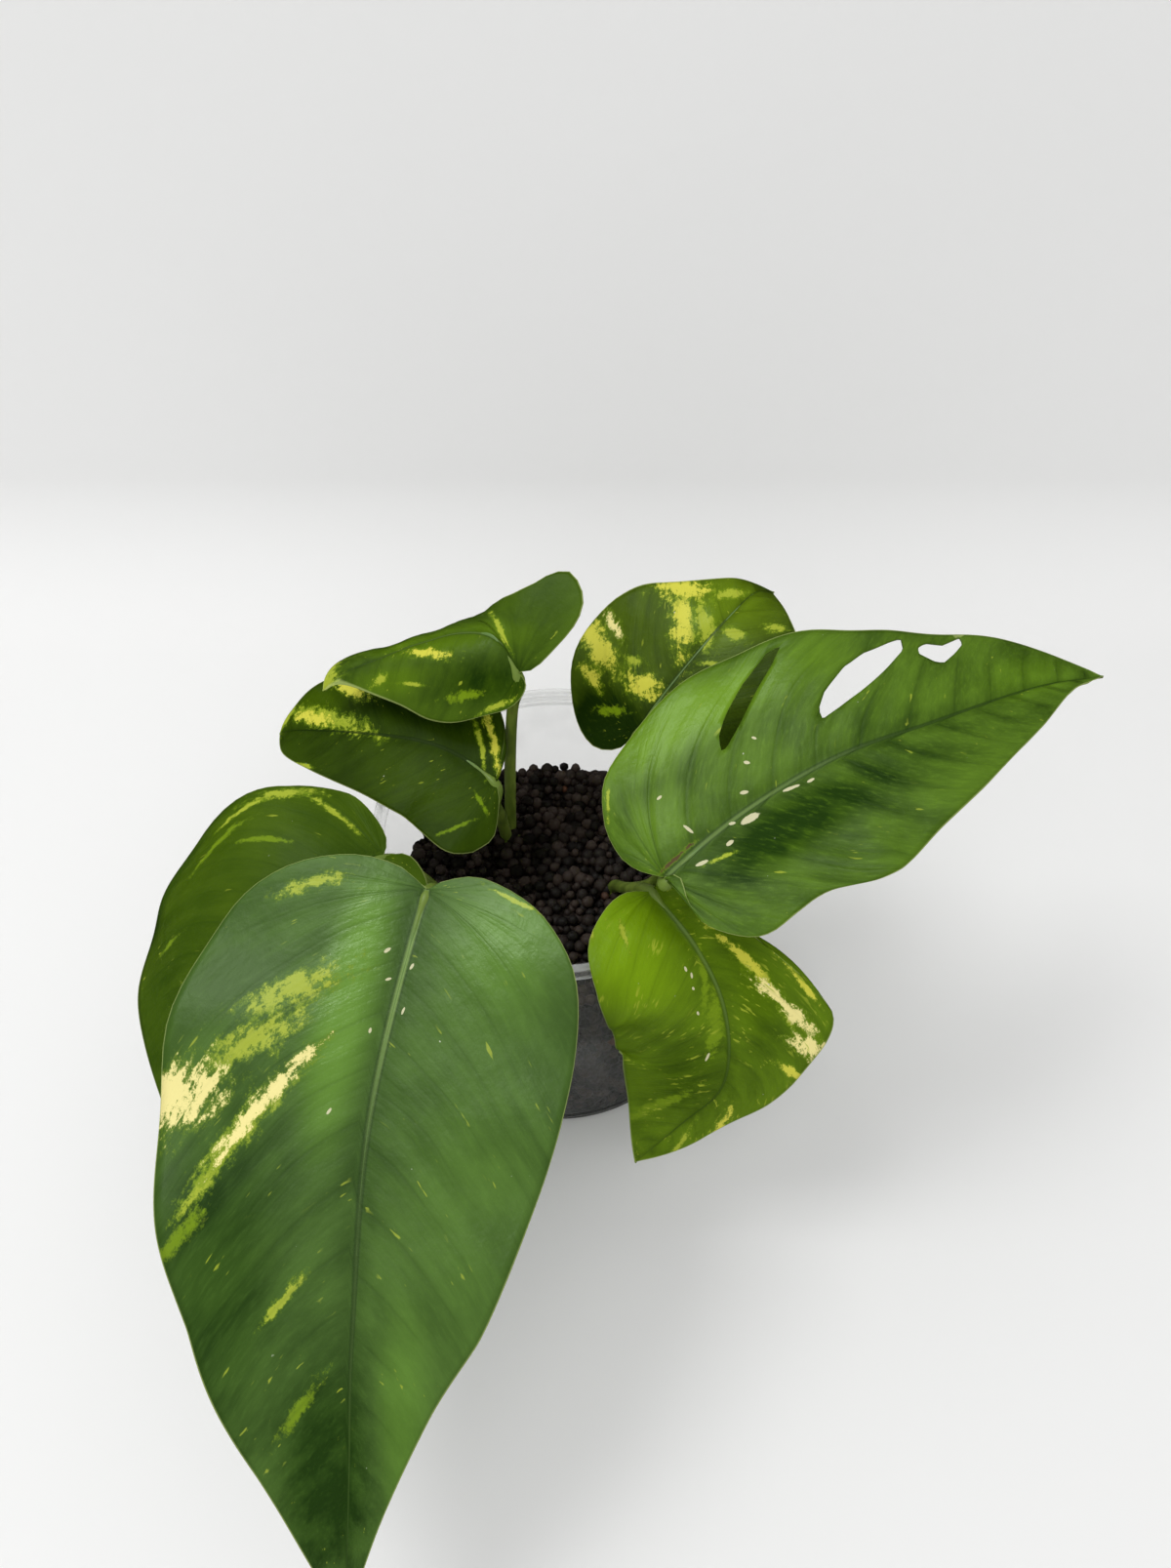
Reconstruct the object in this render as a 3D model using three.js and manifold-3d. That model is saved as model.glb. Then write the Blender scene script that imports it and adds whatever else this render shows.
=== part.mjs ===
// A young variegated epipremnum with seven leaves, in a clear cup filled with baked clay granules.
// Millimetres, +Z up, origin at the centre of the cup's flat base, the photographed side towards -Y.
import * as THREE from 'three';
import { mergeVertices } from 'three/addons/utils/BufferGeometryUtils.js';
import Module from 'manifold-3d';

// Cup
const CUP_HEIGHT = 86;
const CUP_BASE_RADIUS = 42;
const CUP_TOP_RADIUS = 44.8;
const CUP_WALL = 1.2;
const CUP_RIM_RADIUS = 46;
const CUP_RIM_HEIGHT = 4;
const CUP_EDGE = 1.4;
const CUP_FACETS = 48;

// Soil and its granules
const GAP = 0.3;
const SOIL_TOP = 57.8;
const GRANULE_PITCH = 4;
const GRANULE_RISE = 2.6;
const GRANULE_SEED = 11;

// Stems in their holes
const STEM_RADIUS = 4.3;
const STEM_TOP = 56.8;
const STEM_LENGTH = 14;
const ROOT_LENGTH = 24;
const ROOT_RADIUS = 1.1;
const ROOTS_PER_STEM = 3;
const HOLE_DEPTH = STEM_LENGTH + ROOT_LENGTH + 2;

// Leaves
const BLADE_THICKNESS = 0.8;
const STALK_RADIUS = 1.7;
const STALK_STEPS = 12;
const KNUCKLE_RADIUS = 2.2;
const MIDRIB_DEPTH = 1.6;
const LOBE_ROWS = 8;
const BODY_ROWS = 11;
const HALF_COLUMNS = 5;
const COLUMN_CROWDING = 1.35;

const wasm = await Module();
wasm.setup();

const material = (color, roughness) => new THREE.MeshStandardMaterial({ color, roughness, metalness: 0 });
const SOIL_LOOK = material('#2b1c16', 0.9);
const STEM_LOOK = material('#8a9a50', 0.6);
const LEAF_LOOK = material('#3f7a22', 0.45);
const CUP_LOOK = material('#dfe3e2', 0.15);
CUP_LOOK.transparent = true;
CUP_LOOK.opacity = 0.35;

// A closed mesh with shared vertices, ready to be joined or cut.
function solid(geometry) {
  geometry.deleteAttribute('normal');
  geometry.deleteAttribute('uv');
  const merged = mergeVertices(geometry, 1e-3);
  const index = merged.index.array;
  const triangles = [];
  for (let i = 0; i < index.length; i += 3) {
    const [a, b, c] = [index[i], index[i + 1], index[i + 2]];
    if (a !== b && b !== c && c !== a) triangles.push(a, b, c);
  }
  return new wasm.Manifold(new wasm.Mesh({
    numProp: 3,
    vertProperties: new Float32Array(merged.attributes.position.array),
    triVerts: new Uint32Array(triangles),
  }));
}

function largestBody(body) {
  return body.decompose().reduce((a, b) => (a.volume() > b.volume() ? a : b));
}

function mesh(name, body, look) {
  const { vertProperties, triVerts } = largestBody(body).getMesh();
  const geometry = new THREE.BufferGeometry();
  geometry.setAttribute('position', new THREE.BufferAttribute(new Float32Array(vertProperties), 3));
  geometry.setIndex(new THREE.BufferAttribute(new Uint32Array(triVerts), 1));
  geometry.computeVertexNormals();
  const piece = new THREE.Mesh(geometry, look);
  piece.name = name;
  return piece;
}

function turned(profile) {
  const points = profile.map(([radius, height]) => new THREE.Vector2(radius, height));
  return new THREE.LatheGeometry(points, CUP_FACETS).rotateX(Math.PI / 2);
}

const curveThrough = (points) => {
  const curve = new THREE.CatmullRomCurve3(points.map((p) => new THREE.Vector3(...p)), false, 'catmullrom', 0.5);
  curve.arcLengthDivisions = 60 * (points.length - 1);
  return curve;
};

// A round rod along a list of centres, with a radius at each and flat ends.
function rod(centres, radii, sides) {
  const positions = [];
  const index = [];
  const across = new THREE.Vector3(1, 0, 0);
  centres.forEach((centre, i) => {
    const ahead = centres[Math.min(i + 1, centres.length - 1)];
    const behind = centres[Math.max(i - 1, 0)];
    const along = new THREE.Vector3().subVectors(ahead, behind).normalize();
    across.addScaledVector(along, -across.dot(along)).normalize();
    const third = new THREE.Vector3().crossVectors(along, across);
    for (let k = 0; k < sides; k += 1) {
      const angle = (2 * Math.PI * k) / sides;
      const point = centre.clone();
      point.addScaledVector(across, radii[i] * Math.cos(angle));
      point.addScaledVector(third, radii[i] * Math.sin(angle));
      positions.push(point.x, point.y, point.z);
    }
  });
  for (let i = 0; i + 1 < centres.length; i += 1) {
    for (let k = 0; k < sides; k += 1) {
      const a = i * sides + k;
      const b = i * sides + ((k + 1) % sides);
      index.push(a, b, b + sides, a, b + sides, a + sides);
    }
  }
  const last = (centres.length - 1) * sides;
  for (let k = 1; k + 1 < sides; k += 1) {
    index.push(0, k + 1, k);
    index.push(last, last + k, last + k + 1);
  }
  const geometry = new THREE.BufferGeometry();
  geometry.setAttribute('position', new THREE.Float32BufferAttribute(positions, 3));
  geometry.setIndex(index);
  return solid(geometry);
}

function post(radius, bottom, top, [x, y], sides) {
  const shape = new THREE.CylinderGeometry(radius, radius, top - bottom, sides).rotateX(Math.PI / 2);
  return solid(shape.translate(x, y, (top + bottom) / 2));
}

// The cup: flat base with a small round edge, straight tapered wall and a proud rim band.
const cupRadius = (z) => CUP_BASE_RADIUS + ((CUP_TOP_RADIUS - CUP_BASE_RADIUS) * z) / CUP_HEIGHT;

function cup() {
  const shoulder = CUP_HEIGHT - CUP_RIM_HEIGHT;
  return mesh('pot', solid(turned([
    [0, 0],
    [CUP_BASE_RADIUS - CUP_EDGE, 0],
    [CUP_BASE_RADIUS - 0.4, 0.4],
    [cupRadius(CUP_EDGE), CUP_EDGE],
    [cupRadius(shoulder - 0.4), shoulder - 0.4],
    [CUP_RIM_RADIUS, shoulder],
    [CUP_RIM_RADIUS, CUP_HEIGHT - 0.6],
    [CUP_RIM_RADIUS - 0.6, CUP_HEIGHT],
    [CUP_TOP_RADIUS - 0.6, CUP_HEIGHT],
    [CUP_TOP_RADIUS - CUP_WALL, CUP_HEIGHT - 0.6],
    [cupRadius(CUP_WALL) - CUP_WALL, CUP_WALL],
    [0, CUP_WALL],
  ])), CUP_LOOK);
}

// Where each short stem stands. Two stalks leave one stem side by side.
const STEMS = {
  stem_back_left: [-14, 16],
  stem_front_left: [-24, -16],
  stem_right: [17, -4.5],
  stem_back_right: [27, 11],
};

function seeded(seed) {
  let state = seed;
  return () => {
    state = (state * 16807) % 2147483647;
    return state / 2147483647;
  };
}

// The granules at the top of the fill: each is a dome on a triangular grid, with six low points that it
// shares with its neighbours round one high point, all moved a little at random.
function granuleBed(edgeRadius) {
  const random = seeded(GRANULE_SEED);
  const jitter = (size) => size * (random() - 0.5);
  const rowStep = GRANULE_PITCH * Math.sqrt(0.75);
  const reach = GRANULE_PITCH / Math.sqrt(3);
  const rows = Math.ceil(edgeRadius / rowStep) + 1;
  const points = [];
  const triangles = [];
  const lowPoints = new Map();
  const lowPoint = (x, y) => {
    const key = `${Math.round(x * 100)} ${Math.round(y * 100)}`;
    if (!lowPoints.has(key)) {
      lowPoints.set(key, points.length);
      points.push([x + jitter(0.8), y + jitter(0.8), SOIL_TOP + jitter(0.6)]);
    }
    return lowPoints.get(key);
  };
  for (let row = -rows; row <= rows; row += 1) {
    for (let column = -rows; column <= rows; column += 1) {
      const x = (column + (row % 2 ? 0.5 : 0)) * GRANULE_PITCH;
      const y = row * rowStep;
      const corners = [];
      for (let k = 0; k < 6; k += 1) {
        const angle = (Math.PI * (2 * k + 1)) / 6;
        corners.push(lowPoint(x + reach * Math.cos(angle), y + reach * Math.sin(angle)));
      }
      const top = points.length;
      points.push([x + jitter(0.8), y + jitter(0.8), SOIL_TOP + GRANULE_RISE + jitter(0.8)]);
      corners.forEach((corner, k) => triangles.push([top, corner, corners[(k + 1) % 6]]));
    }
  }
  return filledDown(points, triangles, -1);
}

// The solid between a bumpy sheet and a flat floor.
function filledDown(points, triangles, floor) {
  const count = points.length;
  const index = [];
  const edges = new Set(triangles.flatMap(([p, q, r]) => [`${p} ${q}`, `${q} ${r}`, `${r} ${p}`]));
  for (const [p, q, r] of triangles) {
    index.push(p, q, r, p + count, r + count, q + count);
    for (const [from, to] of [[p, q], [q, r], [r, p]]) {
      if (edges.has(`${to} ${from}`)) continue;
      index.push(to, from, from + count, to, from + count, to + count);
    }
  }
  const geometry = new THREE.BufferGeometry();
  const all = [...points, ...points.map(([x, y]) => [x, y, floor])];
  geometry.setAttribute('position', new THREE.Float32BufferAttribute(all.flat(), 3));
  geometry.setIndex(index);
  return solid(geometry);
}

function soil() {
  const bottom = CUP_WALL + GAP;
  const top = SOIL_TOP + 2 * GRANULE_RISE;
  const edge = (z) => cupRadius(z) - CUP_WALL - GAP;
  let fill = solid(turned([[0, bottom], [edge(bottom), bottom], [edge(top), top], [0, top]]));
  fill = fill.intersect(granuleBed(edge(top)));
  for (const place of Object.values(STEMS)) {
    fill = fill.subtract(post(STEM_RADIUS + GAP, STEM_TOP - HOLE_DEPTH, top, place, 12));
  }
  return mesh('soil', fill, SOIL_LOOK);
}

// A short stem with its roots, which run down beside each other in the stem's hole.
function stem(name, [x, y]) {
  const low = STEM_TOP - STEM_LENGTH;
  let body = post(STEM_RADIUS, low, STEM_TOP, [x, y], 12);
  for (let k = 0; k < ROOTS_PER_STEM; k += 1) {
    const angle = (2 * Math.PI * k) / ROOTS_PER_STEM;
    const spread = [1.6, 2.6, 3, 2.2, 1.2];
    const centres = spread.map((out, i) => {
      const swing = angle + 0.35 * i;
      const z = low + 2 - ((ROOT_LENGTH + 2) * i) / (spread.length - 1);
      return new THREE.Vector3(x + out * Math.cos(swing), y + out * Math.sin(swing), z);
    });
    body = body.add(rod(centres, spread.map((_, i) => ROOT_RADIUS * (1 - 0.16 * i)), 6));
  }
  return mesh(name, body, STEM_LOOK);
}

// Smooth steps between evenly spaced values along the blade, from its base (0) to its tip (1).
function blend(values, t) {
  const x = Math.min(Math.max(t, 0), 1) * (values.length - 1);
  const i = Math.min(Math.floor(x), values.length - 2);
  const w = (x - i) * (x - i) * (3 - 2 * (x - i));
  const from = values[i];
  const to = values[i + 1];
  return from instanceof THREE.Vector3 ? from.clone().lerp(to, w) : from + (to - from) * w;
}

// The blade as a bent sheet. A point of it is (along the midrib from the base, sideways from it).
// spine: a point behind the base, the base, then on to the tip; side: the way to the blade's right;
// fold: each half's rise at the midrib in degrees; curl: its bend in degrees a millimetre;
// left and right: each half's outline from the base round its lobe to the tip; wave: height and pitch.
class Blade {
  constructor({ spine, side, fold, curl, left, right, bow = 0, wave = [0, 30, 0] }) {
    this.curve = curveThrough(spine);
    this.lengths = this.curve.getLengths();
    this.behind = this.lengths[60];
    this.total = this.curve.getLength();
    this.length = this.total - this.behind;
    this.side = side.map((v) => new THREE.Vector3(...v));
    this.fold = fold;
    this.curl = curl;
    this.bow = bow;
    this.wave = wave;
    this.outlines = { left: this.closeOutline(left), right: this.closeOutline(right) };
  }

  closeOutline(points) {
    const curve = curveThrough([...points, [this.length, 0]].map(([a, b]) => [a, b, 0]));
    curve.arcLengthDivisions = 400;
    return curve;
  }

  spineAt(a) {
    const s = a + this.behind;
    const inside = Math.min(Math.max(s, 0), this.total);
    const point = this.curve.getPointAt(inside / this.total);
    const along = this.curve.getTangentAt(inside / this.total);
    return point.addScaledVector(along, s - inside);
  }

  ripple(a, b) {
    const [height, pitch, phase] = this.wave;
    const reach = (b / 30) ** 2;
    return height * reach * Math.sin((2 * Math.PI * a) / pitch + phase + (b > 0 ? 1.7 : 0));
  }

  at(a, b) {
    const t = a / this.length;
    const half = b < 0 ? 0 : 1;
    const along = this.spineAt(a + 1).sub(this.spineAt(a - 1)).normalize();
    const side = blend(this.side, t);
    const across = side.addScaledVector(along, -side.dot(along)).normalize();
    const up = new THREE.Vector3().crossVectors(across, along);
    const fold = THREE.MathUtils.degToRad(blend(this.fold[half], t));
    const curl = THREE.MathUtils.degToRad(blend(this.curl[half], t));
    const w = Math.abs(b);
    let out = w * Math.cos(fold);
    let rise = w * Math.sin(fold);
    if (Math.abs(curl) > 1e-5) {
      out = (Math.sin(fold + curl * w) - Math.sin(fold)) / curl;
      rise = (Math.cos(fold) - Math.cos(fold + curl * w)) / curl;
    }
    const point = this.spineAt(a).addScaledVector(across, half ? out : -out);
    return point.addScaledVector(up, rise + this.ripple(a, b));
  }

  normal(a, b) {
    const e = 0.4;
    const da = this.at(a + e, b).sub(this.at(a - e, b));
    const db = this.at(a, b + e).sub(this.at(a, b - e));
    return db.cross(da).normalize();
  }

  midrib(a) {
    const t = Math.min(Math.max(a / this.length, 0), 1);
    return this.bow * Math.sin(Math.PI * t ** 0.6);
  }

  // The place on the midrib that the vein to a margin point leaves.
  veinStart(margin) {
    const soft = 6;
    const ease = (x) => (x + Math.hypot(x, soft) - soft) / 2;
    return Math.max(0, ease(margin.x - Math.abs(margin.y))) * (this.length / ease(this.length));
  }

  // Margin points of one half: round the lobe, where all veins leave the base, then on to the tip.
  marginPoints(outline) {
    const steps = 400;
    const all = outline.getSpacedPoints(steps);
    let first = steps;
    while (first > 0 && this.veinStart(all[first]) > 0) first -= 1;
    const lobe = [];
    for (let i = 1; i <= LOBE_ROWS; i += 1) {
      lobe.push({ start: 0, margin: all[Math.round((first * i) / LOBE_ROWS)] });
    }
    const body = [];
    let k = first;
    for (let i = 1; i <= BODY_ROWS; i += 1) {
      const start = (this.length * i) / BODY_ROWS;
      while (k < steps && this.veinStart(all[k]) < start) k += 1;
      body.push({ start, margin: all[k] });
    }
    return [...lobe, ...body];
  }

  // A vein bends forward as it leaves the midrib.
  rowPoint({ start, margin }, u) {
    const from = this.midrib(start);
    const bendA = start + 0.3 * (margin.x - start);
    const bendB = from + 0.6 * (margin.y - from);
    const [p, q, r] = [(1 - u) ** 2, 2 * u * (1 - u), u * u];
    return [p * start + q * bendA + r * margin.x, p * from + q * bendB + r * margin.y];
  }

  solidBlade() {
    const flat = [];
    const bodyStart = (k) => (this.length * k) / BODY_ROWS;
    for (let k = 0; k <= BODY_ROWS; k += 1) flat.push([bodyStart(k), this.midrib(bodyStart(k))]);
    const triangles = [];
    const loop = {};
    for (const [half, outline] of Object.entries(this.outlines)) {
      const rows = this.marginPoints(outline);
      const ids = rows.map((row, i) => {
        const k = Math.max(0, i + 1 - LOBE_ROWS);
        if (k === BODY_ROWS) return new Array(HALF_COLUMNS + 1).fill(BODY_ROWS);
        const line = [k];
        for (let j = 1; j <= HALF_COLUMNS; j += 1) {
          line.push(flat.length);
          flat.push(this.rowPoint(row, (j / HALF_COLUMNS) ** COLUMN_CROWDING));
        }
        return line;
      });
      for (let i = 0; i + 1 < ids.length; i += 1) {
        for (let j = 0; j < HALF_COLUMNS; j += 1) {
          const [a, b, c, d] = [ids[i][j], ids[i][j + 1], ids[i + 1][j + 1], ids[i + 1][j]];
          const pair = [[a, b, c], [a, c, d]];
          for (const [p, q, r] of pair) {
            if (p === q || q === r || r === p) continue;
            triangles.push(half === 'right' ? [p, q, r] : [p, r, q]);
          }
        }
      }
      loop[half] = [...ids[0], ...ids.slice(1).map((line) => line[HALF_COLUMNS])];
    }
    const keel = (k) => (k > BODY_ROWS ? 0 : MIDRIB_DEPTH * (1 - 0.9 * (k / BODY_ROWS)));
    return slab(
      flat.map(([a, b]) => this.at(a, b)),
      flat.map(([a, b]) => this.normal(a, b)),
      triangles,
      [...loop.right, ...loop.left.slice(1, -1).reverse()],
      flat.map((_, k) => [BLADE_THICKNESS / 2, BLADE_THICKNESS / 2 + keel(k)]),
    );
  }

  // A plug through the sheet with the outline of a hole.
  plug(outline) {
    const points = outline.map(([a, b]) => new THREE.Vector2(a, b));
    if (THREE.ShapeUtils.isClockWise(points)) points.reverse();
    const triangles = THREE.ShapeUtils.triangulateShape(points, []);
    return slab(
      points.map((p) => this.at(p.x, p.y)),
      points.map((p) => this.normal(p.x, p.y)),
      triangles.map(([p, q, r]) => [p, r, q]),
      points.map((_, i) => points.length - 1 - i),
      points.map(() => [3, 3]),
    );
  }
}

// A sheet with its height above and below each point: the same triangles on both faces, and a wall
// along the closed rim.
function slab(points, normals, triangles, rim, heights) {
  const count = points.length;
  const positions = [];
  for (const face of [0, 1]) {
    points.forEach((point, i) => {
      const p = point.clone().addScaledVector(normals[i], face ? -heights[i][1] : heights[i][0]);
      positions.push(p.x, p.y, p.z);
    });
  }
  const index = [];
  for (const [p, q, r] of triangles) {
    index.push(p, q, r);
    index.push(p + count, r + count, q + count);
  }
  rim.forEach((p, i) => {
    const q = rim[(i + 1) % rim.length];
    index.push(q, p, p + count, q, p + count, q + count);
  });
  const geometry = new THREE.BufferGeometry();
  geometry.setAttribute('position', new THREE.Float32BufferAttribute(positions, 3));
  geometry.setIndex(index);
  return solid(geometry);
}

// A leaf is one body: the stalk from just above its stem, the knuckle and the keeled blade.
function leaf(name, form) {
  const blade = new Blade(form);
  let sheet = blade.solidBlade();
  for (const outline of form.holes ?? []) sheet = sheet.subtract(blade.plug(outline));
  const base = blade.at(0, 0);
  const [stemX, stemY] = STEMS[form.stem];
  const [offX, offY] = form.foot;
  const foot = new THREE.Vector3(stemX + offX, stemY + offY, STEM_TOP + GAP);
  const route = curveThrough([foot.clone().setZ(STEM_TOP + 4).toArray(), ...form.stalk, base.toArray()]);
  const centres = [foot, ...route.getSpacedPoints(STALK_STEPS)];
  const stalk = rod(centres, centres.map((_, i) => STALK_RADIUS * (1 - (0.15 * i) / STALK_STEPS)), 8);
  const knuckle = new THREE.SphereGeometry(KNUCKLE_RADIUS, 8, 6).translate(base.x, base.y, base.z - 0.8);
  return mesh(name, sheet.add(solid(knuckle)).add(stalk), LEAF_LOOK);
}

const LEAVES = {
  leaf_front: {
    stem: 'stem_front_left',
    foot: [0.5, -1.9],
    stalk: [[-24.5, -22, 76], [-25, -30, 92], [-25, -38.5, 107.5]],
    spine: [[-19, -30, 119], [-25.3, -44, 115.3], [-34.6, -84, 96.6], [-36.2, -120, 78.3], [-36.5, -141, 62.3],
      [-38, -160.5, 40]],
    side: [[-1, 0.05, -0.1], [-1, 0, -0.05], [-1, 0, 0]],
    fold: [[8, 8, 5], [8, 8, 5]],
    curl: [[-0.3, -0.3, -0.2], [-0.3, -0.3, -0.2]],
    wave: [0.8, 34, 0],
    left: [[0, 0], [-3, -4], [-5.5, -12], [-1.5, -23.5], [10, -34.5], [26, -38], [45, -37.5], [63, -33.5],
      [82, -26], [100, -15], [118, -6.8]],
    right: [[0, 0], [-3, 7], [-2.5, 18], [2.5, 30], [14, 40], [34, 44], [50, 42], [70, 37.5], [89, 29.5],
      [104, 21], [120, 11.5]],
  },
  leaf_left: {
    stem: 'stem_front_left',
    foot: [-0.5, 1.9],
    stalk: [[-30, -14.5, 74], [-37.5, -14, 84.5]],
    spine: [[-30, -9, 88], [-41, -16, 90], [-55, -22, 92], [-70, -29, 86], [-82, -40, 71], [-90, -51, 54],
      [-94, -63, 37]],
    side: [[-0.5, 0.85, 0.1], [-0.55, 0.8, 0], [-0.7, 0.6, 0]],
    fold: [[4, -8, 0], [12, 10, 0]],
    curl: [[-0.4, -0.3, -0.2], [-0.8, -0.9, -0.5]],
    wave: [0.8, 28, 1],
    left: [[0, 0], [-4, -0.5], [-6, -3], [-6.4, -7], [-5.8, -11], [-3, -18], [6, -23], [25, -25.5], [45, -26],
      [65, -21], [80, -11]],
    right: [[0, 0], [-2.5, 3.5], [-2.5, 10], [0, 17], [6, 22], [17, 27.5], [30, 32], [45, 33.5], [60, 33],
      [72, 28], [82, 16]],
  },
  leaf_upper_left: {
    stem: 'stem_back_left',
    foot: [-0.6, -1.9],
    stalk: [[-15, 9, 75], [-15.5, 4.5, 85]],
    spine: [[-9, 1, 89], [-15, 5, 93], [-25, 12, 95.5], [-35.5, 16.5, 96], [-53, 23, 92], [-70, 30.5, 85],
      [-77, 34, 80]],
    side: [[0.35, 0.9, 0.25], [0.3, 0.9, 0.2], [0.3, 0.9, 0.1]],
    fold: [[-8, -8, -12], [10, 8, 5]],
    curl: [[-0.2, -0.1, -0.3], [-0.3, -0.3, 0]],
    wave: [0.6, 26, 2],
    left: [[0, 0], [-4, -3], [-9, -10], [-8.8, -14.5], [-7.2, -18.4], [-3, -21.4], [7, -21.3], [23.5, -19.5],
      [36.4, -16], [53, -11.7], [66, -7]],
    right: [[0, 0], [2.5, 5], [6, 11], [12, 17], [24, 22], [40, 22.5], [54, 20.2], [66, 14.5], [72, 7]],
  },
  leaf_rolled: {
    stem: 'stem_back_left',
    foot: [0.6, 1.9],
    stalk: [[-12.4, 20, 84], [-10.8, 19.6, 104]],
    spine: [[3, 15, 120], [-8.7, 18, 118], [-20, 20, 116.5], [-32, 22, 112.5], [-44, 25, 108],
      [-55, 28.5, 104], [-61, 30, 100]],
    side: [[0, 0.65, 0.75], [0, 0.65, 0.75], [0, 0.7, 0.7]],
    fold: [[0, 0, 0], [5, 5, 5]],
    curl: [[-0.5, -0.3, 0], [-1.1, -4.6, -5.5, -7, -9]],
    bow: 11,
    left: [[0, 0], [-2, -3], [0, -7], [5, -10], [17, -12], [25, -10.5], [33, -6], [43, -2], [51, 0]],
    right: [[0, 0], [-4, 1], [-9, 6], [-13.5, 11.5], [-15.3, 16.5], [-14.3, 21], [-11, 24.8], [-6.5, 24.3],
      [-2, 21.3], [4, 19], [14, 20], [25, 21], [38, 18], [50, 12]],
  },
  leaf_back_right: {
    stem: 'stem_back_right',
    foot: [0, 0.5],
    stalk: [[25, 11, 78], [20, 11, 93]],
    spine: [[14, 9, 92], [20.2, 14.7, 100], [26.4, 20, 108], [35.4, 27, 117], [42.3, 33, 122], [50, 42, 123],
      [57, 51, 116]],
    side: [[0.7, -0.6, -0.1], [0.7, -0.6, -0.1], [0.7, -0.6, -0.1]],
    fold: [[5, 5, 0], [5, 5, 0]],
    curl: [[-0.6, -0.6, -0.4], [-0.6, -0.6, -0.4]],
    wave: [0.9, 22, 0.5],
    left: [[0, 0], [-6, -2], [-9, -8], [-6, -16], [2, -24], [13, -28.5], [26, -25.5], [36, -18.5], [47, -8]],
    right: [[0, 0], [-6, 2], [-9, 8], [-6, 16], [2, 24], [13, 28.5], [26, 27], [38, 21], [47, 11.5], [55, 3]],
  },
  leaf_right: {
    stem: 'stem_right',
    foot: [2.1, -0.5],
    stalk: [[24, -12, 73], [28, -17.5, 88], [26.5, -25, 101.5]],
    spine: [[17, -39, 96], [25, -33.5, 105], [42, -22.5, 114], [62, -15, 124], [84, -8, 128], [111, 6, 125],
      [132, 17, 118]],
    side: [[0.45, -0.85, -0.1], [0.4, -0.9, -0.1], [0.4, -0.9, 0]],
    fold: [[12, 12, 5], [5, 5, 0]],
    curl: [[-0.4, -0.4, -0.2], [-0.6, -0.6, -0.4]],
    wave: [0.7, 24, 1.5],
    left: [[0, 0], [-3, -5], [-4, -11], [-1.5, -19.5], [5, -27], [15, -31.5], [30, -35], [42, -33.5], [55, -31],
      [68, -26.5], [85, -21], [105, -13.5]],
    right: [[0, 0], [2.5, 2.5], [0, 9], [0, 15], [4, 22], [9, 25], [18, 25.5], [29, 25.5], [41, 29], [50, 28],
      [61, 23], [76, 16], [93, 10], [110, 3]],
    // A long slit closed by a thin strip of margin, a long oval hole and a ragged small one.
    holes: [
      [[26, -14.2], [27, -17.5], [30.5, -21.5], [36.5, -26.3], [44, -30], [47.3, -30.2], [44.5, -27.2],
        [38, -22.6], [32, -17.6], [27.5, -14.6]],
      [[47.2, -9.2], [47.4, -11.6], [50, -15], [56, -19.4], [62, -21.6], [74.5, -22], [73, -19], [65, -15.6],
        [57, -12.3], [51, -10.2]],
      [[76, -17], [77.5, -18.6], [80.5, -19.2], [84.6, -17.6], [90.4, -18.2], [90, -16.4], [85.7, -14.4],
        [80.7, -12.7], [78.6, -13.8]],
    ],
  },
  leaf_lower_right: {
    stem: 'stem_right',
    foot: [-1.8, 0.7],
    stalk: [[18, -14, 74], [21, -22, 85]],
    spine: [[19, -13, 89], [23.3, -27, 91], [32, -40.5, 89], [38, -50, 82], [40.5, -57, 70], [39, -61, 57],
      [31, -62.5, 43], [19.8, -66, 28]],
    side: [[-0.9, -0.3, 0], [-0.9, 0, 0], [-0.9, 0.2, 0]],
    fold: [[50, 5, -5], [0, -5, -5]],
    curl: [[-0.6, -0.6, -0.3], [-0.3, -0.5, -0.3]],
    wave: [0.6, 26, 2.5],
    left: [[0, 0], [-2, -5], [2, -9], [10, -11], [21, -13], [30, -19], [39, -24], [50, -17], [63, -10], [80, -5.5]],
    right: [[0, 0], [-2, 6], [0, 13], [5, 21], [15, 25], [32, 26.5], [50, 26.5], [65, 23.5], [75, 16.5], [85, 8]],
  },
};

const plant = new THREE.Group();
plant.add(cup(), soil());
for (const [name, place] of Object.entries(STEMS)) plant.add(stem(name, place));
for (const [name, form] of Object.entries(LEAVES)) plant.add(leaf(name, form));

export default plant;
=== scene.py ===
"""A potted variegated aroid: seven heart-shaped leaves on thin stalks, in a clear cup of baked granules."""
import bisect
import math
import random

import bmesh
import bpy
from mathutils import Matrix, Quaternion, Vector


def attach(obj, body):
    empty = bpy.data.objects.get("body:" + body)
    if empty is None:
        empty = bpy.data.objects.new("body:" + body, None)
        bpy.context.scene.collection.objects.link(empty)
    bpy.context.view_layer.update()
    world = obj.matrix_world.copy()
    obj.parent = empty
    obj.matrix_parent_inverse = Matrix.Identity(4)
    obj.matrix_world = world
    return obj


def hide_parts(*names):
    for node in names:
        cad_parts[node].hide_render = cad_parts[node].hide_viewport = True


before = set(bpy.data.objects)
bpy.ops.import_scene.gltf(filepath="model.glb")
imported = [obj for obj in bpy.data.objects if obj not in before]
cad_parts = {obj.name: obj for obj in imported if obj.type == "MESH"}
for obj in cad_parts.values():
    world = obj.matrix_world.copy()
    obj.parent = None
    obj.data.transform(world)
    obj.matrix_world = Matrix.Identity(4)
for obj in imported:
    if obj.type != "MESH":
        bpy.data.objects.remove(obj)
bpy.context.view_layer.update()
bpy.ops.object.select_all(action="DESELECT")
MM = 0.001

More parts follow.
